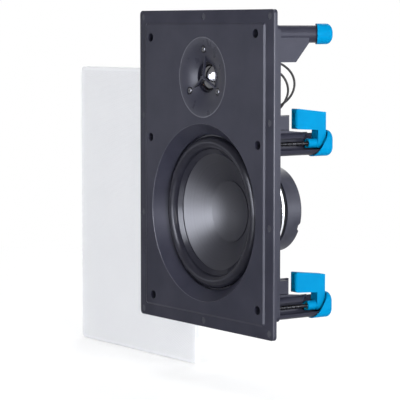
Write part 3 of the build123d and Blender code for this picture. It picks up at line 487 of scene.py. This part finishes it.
def makeDriverScrews():
    for name, values in driverScrews.items():
        tree = ringTree(materials["headSteel"])
        low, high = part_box(values["node"])
        middle = tweeterMiddle if values["fromRoom"] else wooferMiddle
        shankLength = high.y - low.y - values["height"]
        start = crossedHead(name + "Start", values["head"], values["height"], values["shank"], shankLength)
        angle = math.radians(values["startAngle"])
        reach = (high.z - middle.z - values["head"]) / math.sin(angle)
        if values["fromRoom"]:
            turn = towardsRoom((middle.x, low.y + values["height"], middle.z))
        else:
            turn = intoWall((middle.x, high.y - values["height"], middle.z))
        sizes = {"Count": values["count"], "Ring Radius": reach, "Start Angle": angle}
        piece = grow(name, tree, sizes, turn, start)
        smoothFaces(piece.data, screwHead["smooth"])
        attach(piece, "frame")
        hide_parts(values["node"])


def makeBoardScrews():
    values = boardScrews
    low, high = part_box(values["node"])
    shankLength = high.y - low.y - values["height"]
    start = crossedHead("boardScrewStart", values["head"], values["height"], values["shank"], shankLength)
    sizes = {
        "Width": high.x - low.x - 2 * values["head"],
        "Height": high.z - low.z - 2 * values["head"],
    }
    spot = ((low.x + high.x) / 2, high.y - values["height"], (low.z + high.z) / 2)
    piece = grow("boardScrewHeads", gridTree(materials["zincPlate"]), sizes, intoWall(spot), start)
    smoothFaces(piece.data, screwHead["smooth"])
    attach(piece, "frame")
    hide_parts(values["node"])


clampScrew = {
    "core": 1.62 * mm, "crest": 2.0 * mm, "pitch": 1.4 * mm, "head": 3.7 * mm, "height": 3.0 * mm,
    "stepsPerTurn": 20, "ridge": 0.46 * mm, "ridgeSides": 5, "coreSides": 24, "stub": 1 * mm, "smooth": 40.0,
}


def threadTree(material):
    # a core along z with a ridge wound round it
    tree, group = startTree("threadedRod", ("Core", "Crest", "Ridge", "Pitch", "Length"))
    turns = mathNode(tree, "DIVIDE", group.outputs["Length"], group.outputs["Pitch"])
    path = addNode(tree, "GeometryNodeCurveSpiral")
    path.inputs["Resolution"].default_value = clampScrew["stepsPerTurn"]
    ridgeRadius = mathNode(tree, "SUBTRACT", group.outputs["Crest"], group.outputs["Ridge"])
    link(tree, turns, path.inputs["Rotations"])
    link(tree, ridgeRadius, path.inputs["Start Radius"])
    link(tree, ridgeRadius, path.inputs["End Radius"])
    link(tree, group.outputs["Length"], path.inputs["Height"])
    tooth = addNode(tree, "GeometryNodeCurvePrimitiveCircle")
    tooth.inputs["Resolution"].default_value = clampScrew["ridgeSides"]
    link(tree, group.outputs["Ridge"], tooth.inputs["Radius"])
    wound = addNode(tree, "GeometryNodeCurveToMesh")
    wound.inputs["Fill Caps"].default_value = True
    link(tree, path.outputs["Curve"], wound.inputs["Curve"])
    link(tree, tooth.outputs["Curve"], wound.inputs["Profile Curve"])
    core = addNode(tree, "GeometryNodeMeshCylinder")
    core.inputs["Vertices"].default_value = clampScrew["coreSides"]
    link(tree, group.outputs["Core"], core.inputs["Radius"])
    link(tree, group.outputs["Length"], core.inputs["Depth"])
    lift = addNode(tree, "ShaderNodeCombineXYZ")
    link(tree, mathNode(tree, "MULTIPLY", group.outputs["Length"], 0.5), lift.inputs["Z"])
    raised = addNode(tree, "GeometryNodeTransform")
    link(tree, core.outputs["Mesh"], raised.inputs["Geometry"])
    link(tree, lift.outputs["Vector"], raised.inputs["Translation"])
    both = addNode(tree, "GeometryNodeJoinGeometry")
    link(tree, wound.outputs["Mesh"], both.inputs["Geometry"])
    link(tree, raised.outputs["Geometry"], both.inputs["Geometry"])
    link(tree, group.outputs["Geometry"], both.inputs["Geometry"])
    endTree(tree, both.outputs["Geometry"], material)
    return tree


def makeClampScrews():
    tree = threadTree(materials["blackPlate"])
    values = clampScrew
    for place in places:
        node = f"clamp_screw_{place}"
        low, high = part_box(node)
        seat = low.y + values["height"]
        start = crossedHead(
            "clampHeadStart", values["head"], values["height"], values["core"], values["stub"]
        )
        start.transform(Matrix.Rotation(math.radians(180), 4, "X"))
        sizes = {
            "Core": values["core"], "Crest": values["crest"], "Ridge": values["ridge"],
            "Pitch": values["pitch"], "Length": high.y - seat - values["ridge"],
        }
        middle = middleOf(node)
        piece = grow(f"threadedScrew_{place}", tree, sizes, intoWall((middle.x, seat, middle.z)), start)
        smoothFaces(piece.data, values["smooth"])
        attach(piece, f"screw_{place}")
        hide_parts(node)


makeDriverScrews()
makeBoardScrews()
makeClampScrews()
print("screws made")

# fine perforation of the cover, drawn as darker discs: painted shade where the holes are

perforation = {
    "pitch": 2.6 * mm, "hole": 0.42 * mm, "margin": 3.0 * mm, "proud": 0.02 * mm,
    "sheet": 1.0 * mm, "sides": 6,
}


def perforationTree(material):
    # two grids, one shifted by half a pitch, with a small disc at each point
    tree, group = startTree("perforation", ("Count X", "Count Y", "Pitch", "Hole"))
    disc = addNode(tree, "GeometryNodeMeshCircle", fill_type="NGON")
    disc.inputs["Vertices"].default_value = perforation["sides"]
    link(tree, group.outputs["Hole"], disc.inputs["Radius"])
    both = addNode(tree, "GeometryNodeJoinGeometry")
    half = mathNode(tree, "MULTIPLY", group.outputs["Pitch"], 0.5)
    for drop in (0, 1):
        grid = addNode(tree, "GeometryNodeMeshGrid")
        for axis in ("X", "Y"):
            count = mathNode(tree, "SUBTRACT", group.outputs["Count " + axis], drop)
            gaps = mathNode(tree, "SUBTRACT", count, 1)
            link(tree, count, grid.inputs["Vertices " + axis])
            link(tree, mathNode(tree, "MULTIPLY", gaps, group.outputs["Pitch"]), grid.inputs["Size " + axis])
        link(tree, grid.outputs["Mesh"], both.inputs["Geometry"])
    copies = addNode(tree, "GeometryNodeInstanceOnPoints")
    link(tree, both.outputs["Geometry"], copies.inputs["Points"])
    link(tree, disc.outputs["Mesh"], copies.inputs["Instance"])
    endTree(tree, copies.outputs["Instances"], material)
    return tree


def makePerforation():
    values = perforation
    low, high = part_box("grille")
    sizes = {"Pitch": values["pitch"], "Hole": values["hole"]}
    for axis, span in (("X", high.x - low.x), ("Y", high.z - low.z)):
        sizes["Count " + axis] = int((span - 2 * values["margin"]) / values["pitch"])
    middle = middleOf("grille")
    tree = perforationTree(materials["holeShade"])
    faces = {
        "coverPerforationFront": towardsRoom((middle.x, low.y - values["proud"], middle.z)),
        "coverPerforationRear": intoWall((middle.x, low.y + values["sheet"] + values["proud"], middle.z)),
    }
    for name, turn in faces.items():
        piece = grow(name, tree, sizes, turn)
        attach(piece, "frame")
        print(name, "holes:", len(piece.data.polygons))


makePerforation()

# soft rings between the basket and the cone, in sectors

roll = {
    "lipOuter": 78.4 * mm, "rollOuter": 74.4 * mm, "rollInner": 61.6 * mm, "glueInner": 57.0 * mm,
    "lipFront": 7.7 * mm, "crest": 2.0 * mm, "wall": 0.75 * mm, "coneSlope": 0.6,
    "fullness": 0.9, "sectors": 16, "steps": 8, "arcSteps": 18, "smooth": 50.0,
}
spider = {
    "outer": 42.5 * mm, "landing": 39.5 * mm, "inner": 13.5 * mm, "level": 42.6 * mm, "wall": 0.6 * mm,
    "wave": 1.4 * mm, "waves": 6, "waveSteps": 8, "follow": 15.0 * mm, "sectors": 16, "steps": 6,
    "smooth": 50.0,
}


def rollSection():
    # (radius, depth) of the front face from the outer lip to the glue edge on the cone
    front = [(roll["lipOuter"], roll["lipFront"])]
    middle = (roll["rollOuter"] + roll["rollInner"]) / 2
    half = (roll["rollOuter"] - roll["rollInner"]) / 2
    height = roll["lipFront"] - roll["crest"]
    for i in range(roll["arcSteps"] + 1):
        angle = math.pi * i / roll["arcSteps"]
        rise = height * math.sin(angle) ** roll["fullness"]
        front.append((middle + half * math.cos(angle), roll["lipFront"] - rise))
    glueDepth = roll["lipFront"] + roll["coneSlope"] * (roll["rollInner"] - roll["glueInner"])
    front.append((roll["glueInner"], glueDepth))
    return front


def spiderSection():
    # waves between the landing in the basket and the coil
    front = [(spider["outer"], spider["level"])]
    total = spider["waves"] * spider["waveSteps"]
    for i in range(total + 1):
        radius = spider["landing"] + (spider["inner"] - spider["landing"]) * i / total
        side = -1 if (i // spider["waveSteps"]) % 2 == 0 else 1
        swell = math.sin(math.pi * (i % spider["waveSteps"]) / spider["waveSteps"])
        front.append((radius, spider["level"] + side * spider["wave"] * swell))
    return front


def makeSoftRing(name, front, values, finish, node):
    section = front + [(radius, depth + values["wall"]) for radius, depth in front[::-1]]
    width = 2 * math.pi / values["sectors"]
    centre = Vector((0, 0, wooferMiddle.z))
    for sector in range(values["sectors"]):
        facing = width * sector
        shape = bmesh.new()
        rows = []
        for step in range(values["steps"] + 1):
            angle = facing + width * (step / values["steps"] - 0.5)
            rows.append([
                shape.verts.new((
                    radius * math.cos(angle), depth, centre.z + radius * math.sin(angle),
                ))
                for radius, depth in section
            ])
        for lower, upper in zip(rows, rows[1:]):
            for i in range(len(section)):
                j = (i + 1) % len(section)
                shape.faces.new((lower[i], lower[j], upper[j], upper[i]))
        shape.faces.new(rows[0][::-1])
        shape.faces.new(rows[-1])
        bmesh.ops.recalc_face_normals(shape, faces=shape.faces)
        mesh = bpy.data.meshes.new(f"{name}_{sector:02d}")
        shape.to_mesh(mesh)
        shape.free()
        smoothFaces(mesh, values["smooth"])
        mesh.materials.append(materials[finish])
        piece = bpy.data.objects.new(mesh.name, mesh)
        bpy.context.scene.collection.objects.link(piece)
        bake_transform(piece)
        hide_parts(node)


def makeTinsel():
    # a copy of the braided leads, which run from the strip on the basket to the back of the cone
    node = nodes["tinsel_leads"]
    piece = bpy.data.objects.new("bentTinsel", node.data.copy())
    bpy.context.scene.collection.objects.link(piece)
    piece.matrix_world = node.matrix_world.copy()
    centre = Vector((0, 0, wooferMiddle.z))
    out = middleOf("tinsel_leads") - centre
    out.y = 0
    out.normalize()
    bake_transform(piece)
    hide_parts("tinsel_leads")


makeSoftRing(
    "rubberRoll", rollSection(), roll,
    "rollRubber", "woofer_surround",
)
makeSoftRing(
    "clothSpider", spiderSection(), spider,
    "spiderCloth", "spider",
)
makeTinsel()
print("soft rings made")

# leads, each along its own smooth curve

leadSizes = {"radius": 1.1 * mm, "resolution": 10, "bevel": 4, "order": 3}
leadRoutes = {
    "wooferLeadOuter": {
        "node": "woofer_leads",
        "points": (
            (77.0, 9.6, 106.0), (77.0, 20.6, 106.0), (77.0, 33.0, 102.5), (75.5, 45.0, 94.5),
            (75.0, 49.5, 84.0), (74.0, 46.5, 73.0), (66.0, 41.5, 64.0), (50.0, 39.0, 58.0),
            (41.5, 41.0, 47.5), (27.65, 43.3, 31.2), (27.65, 27.3, 31.2),
        ),
    },
    "wooferLeadInner": {
        "node": "woofer_leads",
        "points": (
            (77.0, 9.6, 96.5), (77.0, 20.6, 96.5), (76.5, 30.5, 94.5), (75.5, 39.0, 86.0),
            (74.5, 42.0, 76.0), (71.5, 39.5, 66.0), (64.5, 35.5, 57.0), (55.5, 35.0, 46.5),
            (47.0, 40.0, 36.5), (38.53, 43.3, 26.13), (38.53, 27.3, 26.13),
        ),
    },
    "tweeterLeadNear": {
        "node": "tweeter_leads",
        "points": (
            (7.0, 26.8, 89.3), (7.0, 37.8, 89.3), (19.0, 44.0, 91.0), (33.0, 37.0, 92.5),
            (46.0, 20.6, 93.0), (46.0, 9.6, 93.0),
        ),
    },
    "tweeterLeadFar": {
        "node": "tweeter_leads",
        "points": (
            (-7.0, 26.8, 89.3), (-7.0, 37.8, 89.3), (6.0, 46.0, 85.5), (22.0, 45.0, 84.0),
            (36.0, 36.0, 85.0), (46.0, 20.6, 86.5), (46.0, 9.6, 86.5),
        ),
    },
}


def lineLength(piece):
    line = bpy.data.meshes.new_from_object(piece.evaluated_get(bpy.context.evaluated_depsgraph_get()))
    total = 0
    for edge in line.edges:
        first, second = edge.vertices
        total += (line.vertices[first].co - line.vertices[second].co).length
    bpy.data.meshes.remove(line)
    return total


def makeLeads():
    for name, values in leadRoutes.items():
        curve = bpy.data.curves.new(name, "CURVE")
        curve.dimensions = "3D"
        curve.resolution_u = leadSizes["resolution"]
        spline = curve.splines.new("NURBS")
        spline.points.add(len(values["points"]) - 1)
        for point, spot in zip(spline.points, values["points"]):
            point.co = (*(Vector(spot) * mm), 1)
        spline.order_u = leadSizes["order"]
        spline.use_endpoint_u = True
        piece = bpy.data.objects.new(name, curve)
        bpy.context.scene.collection.objects.link(piece)
        length = lineLength(piece)
        curve.bevel_depth = leadSizes["radius"]
        curve.bevel_resolution = leadSizes["bevel"]
        curve.use_fill_caps = True
        curve.materials.append(materials["leadSleeve"])
        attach(piece, "frame")
        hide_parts(values["node"])
        print(name, "length", round(length, 4))


makeLeads()

# windings of the crossover coil

winding = {
    "wire": 0.42 * mm, "wireSides": 6, "turns": 13, "sides": 56, "inset": 0.9 * mm, "cheek": 1.3 * mm,
    "smooth": 60.0,
}


def windingTree(material):
    tree, group = startTree("windings", ("Count Turns", "Ring Radius", "Wire", "Height"))
    ring = addNode(tree, "GeometryNodeCurvePrimitiveCircle")
    ring.inputs["Resolution"].default_value = winding["sides"]
    link(tree, group.outputs["Ring Radius"], ring.inputs["Radius"])
    wire = addNode(tree, "GeometryNodeCurvePrimitiveCircle")
    wire.inputs["Resolution"].default_value = winding["wireSides"]
    link(tree, group.outputs["Wire"], wire.inputs["Radius"])
    turnOfWire = addNode(tree, "GeometryNodeCurveToMesh")
    link(tree, ring.outputs["Curve"], turnOfWire.inputs["Curve"])
    link(tree, wire.outputs["Curve"], turnOfWire.inputs["Profile Curve"])
    stack = addNode(tree, "GeometryNodeMeshLine", mode="END_POINTS")
    top = addNode(tree, "ShaderNodeCombineXYZ")
    link(tree, group.outputs["Height"], top.inputs["Z"])
    link(tree, group.outputs["Count Turns"], stack.inputs["Count"])
    link(tree, top.outputs["Vector"], stack.inputs["Offset"])
    copies = addNode(tree, "GeometryNodeInstanceOnPoints")
    link(tree, stack.outputs["Mesh"], copies.inputs["Points"])
    link(tree, turnOfWire.outputs["Mesh"], copies.inputs["Instance"])
    endTree(tree, copies.outputs["Instances"], material)
    return tree


def makeWindings():
    values = winding
    low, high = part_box("crossover_inductor")
    radius = (high.x - low.x) / 2 - values["inset"] - values["wire"]
    bottom = low.y + values["cheek"] + values["wire"]
    sizes = {
        "Count Turns": values["turns"], "Ring Radius": radius, "Wire": values["wire"],
        "Height": high.y - values["cheek"] - values["wire"] - bottom,
    }
    middle = middleOf("crossover_inductor")
    turn = intoWall((middle.x, bottom, middle.z))
    piece = grow("coilWindings", windingTree(materials["coilCopper"]), sizes, turn)
    smoothFaces(piece.data, values["smooth"])
    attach(piece, "frame")


makeWindings()
print("coil wound")

# rounded edges of the woofer recess, the waveguide and the flange, as beads in a lighter colour than the
# frame that paints a highlight along them

rims = {
    "recessEdge": {
        "middle": wooferMiddle, "radius": 86.8 * mm, "bead": 0.4 * mm, "depth": 0.4 * mm, "sink": 0.4 * mm,
        "finish": "paintedHighlightSatin",
    },
    "waveguideEdge": {
        "middle": tweeterMiddle, "radius": 38.5 * mm, "bead": 0.35 * mm, "depth": 0.02 * mm, "sink": 0.0,
        "finish": "paintedHighlightSatin",
    },
}
rimSteps = {"ring": 128, "bead": 12, "smooth": 60.0}


def rimTree(material):
    tree, group = startTree("roundedEdge", ("Ring Radius", "Bead"))
    ring = addNode(tree, "GeometryNodeCurvePrimitiveCircle")
    ring.inputs["Resolution"].default_value = rimSteps["ring"]
    link(tree, group.outputs["Ring Radius"], ring.inputs["Radius"])
    bead = addNode(tree, "GeometryNodeCurvePrimitiveCircle")
    bead.inputs["Resolution"].default_value = rimSteps["bead"]
    link(tree, group.outputs["Bead"], bead.inputs["Radius"])
    swept = addNode(tree, "GeometryNodeCurveToMesh")
    link(tree, ring.outputs["Curve"], swept.inputs["Curve"])
    link(tree, bead.outputs["Curve"], swept.inputs["Profile Curve"])
    endTree(tree, swept.outputs["Mesh"], material)
    return tree


def makeRims():
    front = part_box("tweeter_waveguide")[0].y
    for name, values in rims.items():
        # each bead's lighter finish is a painted highlight along its edge
        tree = rimTree(materials[values["finish"]])
        sizes = {"Ring Radius": values["radius"], "Bead": values["bead"]}
        middle = values["middle"]
        flatten = Matrix.Diagonal((1, 1, values["depth"] / values["bead"], 1))
        turn = towardsRoom((middle.x, front + values["sink"], middle.z)) @ flatten
        piece = grow(name, tree, sizes, turn)
        smoothFaces(piece.data, rimSteps["smooth"])
        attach(piece, "frame")


flangeEdge = {
    "edge": 4.0 * mm, "corner": 4.0 * mm, "round": 0.8 * mm, "proud": 0.02 * mm,
    "steps": 6, "beadSides": 24, "smooth": 60.0,
}


def flangeTree(material):
    tree, group = startTree("flangeEdge", ("Width", "Height", "Corner", "Bead"))
    path = addNode(tree, "GeometryNodeCurvePrimitiveQuadrilateral")
    link(tree, group.outputs["Width"], path.inputs["Width"])
    link(tree, group.outputs["Height"], path.inputs["Height"])
    corners = addNode(tree, "GeometryNodeFilletCurve", mode="POLY")
    corners.inputs["Count"].default_value = flangeEdge["steps"]
    link(tree, path.outputs["Curve"], corners.inputs["Curve"])
    link(tree, group.outputs["Corner"], corners.inputs["Radius"])
    bead = addNode(tree, "GeometryNodeCurvePrimitiveCircle")
    bead.inputs["Resolution"].default_value = flangeEdge["beadSides"]
    link(tree, group.outputs["Bead"], bead.inputs["Radius"])
    swept = addNode(tree, "GeometryNodeCurveToMesh")
    link(tree, corners.outputs["Curve"], swept.inputs["Curve"])
    link(tree, bead.outputs["Curve"], swept.inputs["Profile Curve"])
    endTree(tree, swept.outputs["Mesh"], material)
    return tree


def makeFlangeEdge():
    values = flangeEdge
    low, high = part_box("baffle_frame")
    sizes = {
        "Width": high.x - low.x - 2 * values["round"],
        "Height": high.z - low.z - 2 * values["round"],
        "Corner": values["corner"] - values["round"],
        "Bead": values["round"] + values["proud"],
    }
    middle = middleOf("baffle_frame")
    turn = towardsRoom((middle.x, values["round"] - values["edge"], middle.z))
    # the lighter finish paints a highlight along the flange's front edge
    piece = grow("flangeEdge", flangeTree(materials["paintedHighlightBright"]), sizes, turn)
    smoothFaces(piece.data, values["smooth"])
    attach(piece, "frame")


makeRims()
makeFlangeEdge()
print("edges rounded")

# camera at the photograph's place

view = {
    "target": (-0.01208, 0.0, -0.03078), "azimuth": 54.91, "elevation": 4.99,
    "distance": 1.90981, "lens": 175.88, "sensor": 36.0, "clip": 50.0,
}


def wayTo(azimuth, elevation):
    # unit vector from the object, azimuth counted from the front towards the right
    across = math.radians(azimuth)
    up = math.radians(elevation)
    return Vector((math.cos(up) * math.sin(across), -math.cos(up) * math.cos(across), math.sin(up)))


def placeCamera():
    away = wayTo(view["azimuth"], view["elevation"])
    data = bpy.data.cameras.new("photoCamera")
    data.lens = view["lens"]
    data.sensor_width = view["sensor"]
    data.clip_end = view["clip"]
    camera = bpy.data.objects.new("photoCamera", data)
    bpy.context.scene.collection.objects.link(camera)
    camera.location = Vector(view["target"]) + away * view["distance"]
    camera.rotation_euler = (-away).to_track_quat("-Z", "Y").to_euler()
    bpy.context.scene.camera = camera


placeCamera()

# floor, world and lamps

studio = {
    "floorDrop": 0.0006, "floorSize": 12.0, "floorColour": (0.94, 0.94, 0.94), "floorRough": 0.9,
    "nearGlow": 0.45, "nearReach": 0.45, "farReach": 1.3,
    "worldColour": (0.86, 0.88, 0.94), "worldStrength": 0.1,
    "cardColour": (0.86, 0.89, 1.0),
}
lamps = {
    "keyRight": {"azimuth": 78.0, "elevation": 10.0, "away": 2.4, "size": 0.8, "tall": 0.8, "watts": 85.0},
    "softFront": {"azimuth": 4.0, "elevation": 14.0, "away": 2.6, "size": 0.9, "tall": 0.9, "watts": 30.0},
    "overhead": {"azimuth": 0.0, "elevation": 86.0, "away": 2.4, "size": 1.8, "tall": 1.8, "watts": 30.0},
    "rearRight": {"azimuth": 132.0, "elevation": 24.0, "away": 2.6, "size": 1.2, "tall": 1.2, "watts": 18.0},
    "rearLeft": {"azimuth": 222.0, "elevation": 30.0, "away": 2.6, "size": 1.4, "tall": 1.4, "watts": 30.0},
}
# cards are lamps that show in shiny surfaces and add no other light
cards = {
    "cardFront": {"azimuth": 5.0, "elevation": 1.0, "away": 2.6, "size": 0.7, "tall": 2.2, "watts": 430.0},
    "cardRight": {"azimuth": 41.0, "elevation": 0.0, "away": 2.6, "size": 0.7, "tall": 1.6, "watts": 105.0},
    "cardLeft": {"azimuth": -16.0, "elevation": 0.0, "away": 2.6, "size": 0.6, "tall": 1.2, "watts": 85.0},
    "cardSide": {"azimuth": 123.0, "elevation": -1.0, "away": 2.6, "size": 0.7, "tall": 1.0, "watts": 75.0},
    "cardPanel": {"azimuth": -52.0, "elevation": -1.0, "away": 2.6, "size": 0.5, "tall": 0.5, "watts": 5.0},
}


def shownRay(tree):
    # 1 where the camera, a reflection or a clear material sees this directly
    path = tree.nodes.new("ShaderNodeLightPath")
    shown = path.outputs["Is Camera Ray"]
    for kind in ("Is Glossy Ray", "Is Transmission Ray"):
        either = tree.nodes.new("ShaderNodeMath")
        either.operation = "MAXIMUM"
        link(tree, shown, either.inputs[0])
        link(tree, path.outputs[kind], either.inputs[1])
        shown = either.outputs["Value"]
    return shown


def buildStudio():
    floorMesh = bpy.data.meshes.new("floor")
    half = studio["floorSize"] / 2
    level = cadBox[0][2] - studio["floorDrop"]
    corners = [(-half, -half, level), (half, -half, level), (half, half, level), (-half, half, level)]
    floorMesh.from_pydata(corners, [], [(0, 1, 2, 3)])
    floor = bpy.data.objects.new("floor", floorMesh)
    bpy.context.scene.collection.objects.link(floor)
    material = bpy.data.materials.new("paleFloor")
    material.use_nodes = True
    tree = material.node_tree
    shader = tree.nodes["Principled BSDF"]
    shader.inputs["Base Color"].default_value = (*studio["floorColour"], 1)
    shader.inputs["Roughness"].default_value = studio["floorRough"]
    glow = tree.nodes.new("ShaderNodeEmission")
    glow.inputs["Strength"].default_value = 1.0
    # the floor keeps the shadow near the object and turns to plain white further out
    place = tree.nodes.new("ShaderNodeTexCoord")
    reach = tree.nodes.new("ShaderNodeVectorMath")
    reach.operation = "LENGTH"
    link(tree, place.outputs["Object"], reach.inputs[0])
    spread = tree.nodes.new("ShaderNodeMapRange")
    spread.interpolation_type = "SMOOTHSTEP"
    spread.inputs["From Min"].default_value = studio["nearReach"]
    spread.inputs["From Max"].default_value = studio["farReach"]
    spread.inputs["To Min"].default_value = studio["nearGlow"]
    spread.inputs["To Max"].default_value = 1.0
    link(tree, reach.outputs["Value"], spread.inputs["Value"])
    share = tree.nodes.new("ShaderNodeMath")
    share.operation = "MULTIPLY"
    link(tree, spread.outputs["Result"], share.inputs[1])
    link(tree, shownRay(tree), share.inputs[0])
    mix = tree.nodes.new("ShaderNodeMixShader")
    link(tree, share.outputs["Value"], mix.inputs["Fac"])
    link(tree, shader.outputs["BSDF"], mix.inputs[1])
    link(tree, glow.outputs["Emission"], mix.inputs[2])
    link(tree, mix.outputs["Shader"], tree.nodes["Material Output"].inputs["Surface"])
    floorMesh.materials.append(material)
    floor.visible_shadow = False

    world = bpy.data.worlds.new("studioWorld")
    world.use_nodes = True
    bpy.context.scene.world = world
    tree = world.node_tree
    ambient = tree.nodes["Background"]
    ambient.inputs["Color"].default_value = (*studio["worldColour"], 1)
    ambient.inputs["Strength"].default_value = studio["worldStrength"]
    paper = tree.nodes.new("ShaderNodeBackground")
    paper.inputs["Color"].default_value = (1, 1, 1, 1)
    mix = tree.nodes.new("ShaderNodeMixShader")
    link(tree, shownRay(tree), mix.inputs["Fac"])
    link(tree, ambient.outputs["Background"], mix.inputs[1])
    link(tree, paper.outputs["Background"], mix.inputs[2])
    link(tree, mix.outputs["Shader"], tree.nodes["World Output"].inputs["Surface"])

    for name, values in {**lamps, **cards}.items():
        data = bpy.data.lights.new(name, "AREA")
        data.shape = "RECTANGLE"
        data.energy = values["watts"]
        data.size = values["size"]
        data.size_y = values["tall"]
        lamp = bpy.data.objects.new(name, data)
        bpy.context.scene.collection.objects.link(lamp)
        lamp.visible_diffuse = name in lamps
        if name in cards:
            data.color = studio["cardColour"]
        away = wayTo(values["azimuth"], values["elevation"])
        lamp.location = away * values["away"]
        lamp.rotation_euler = (-away).to_track_quat("-Z", "Y").to_euler()
    bpy.context.scene.view_settings.view_transform = "Standard"


buildStudio()
print("studio built")
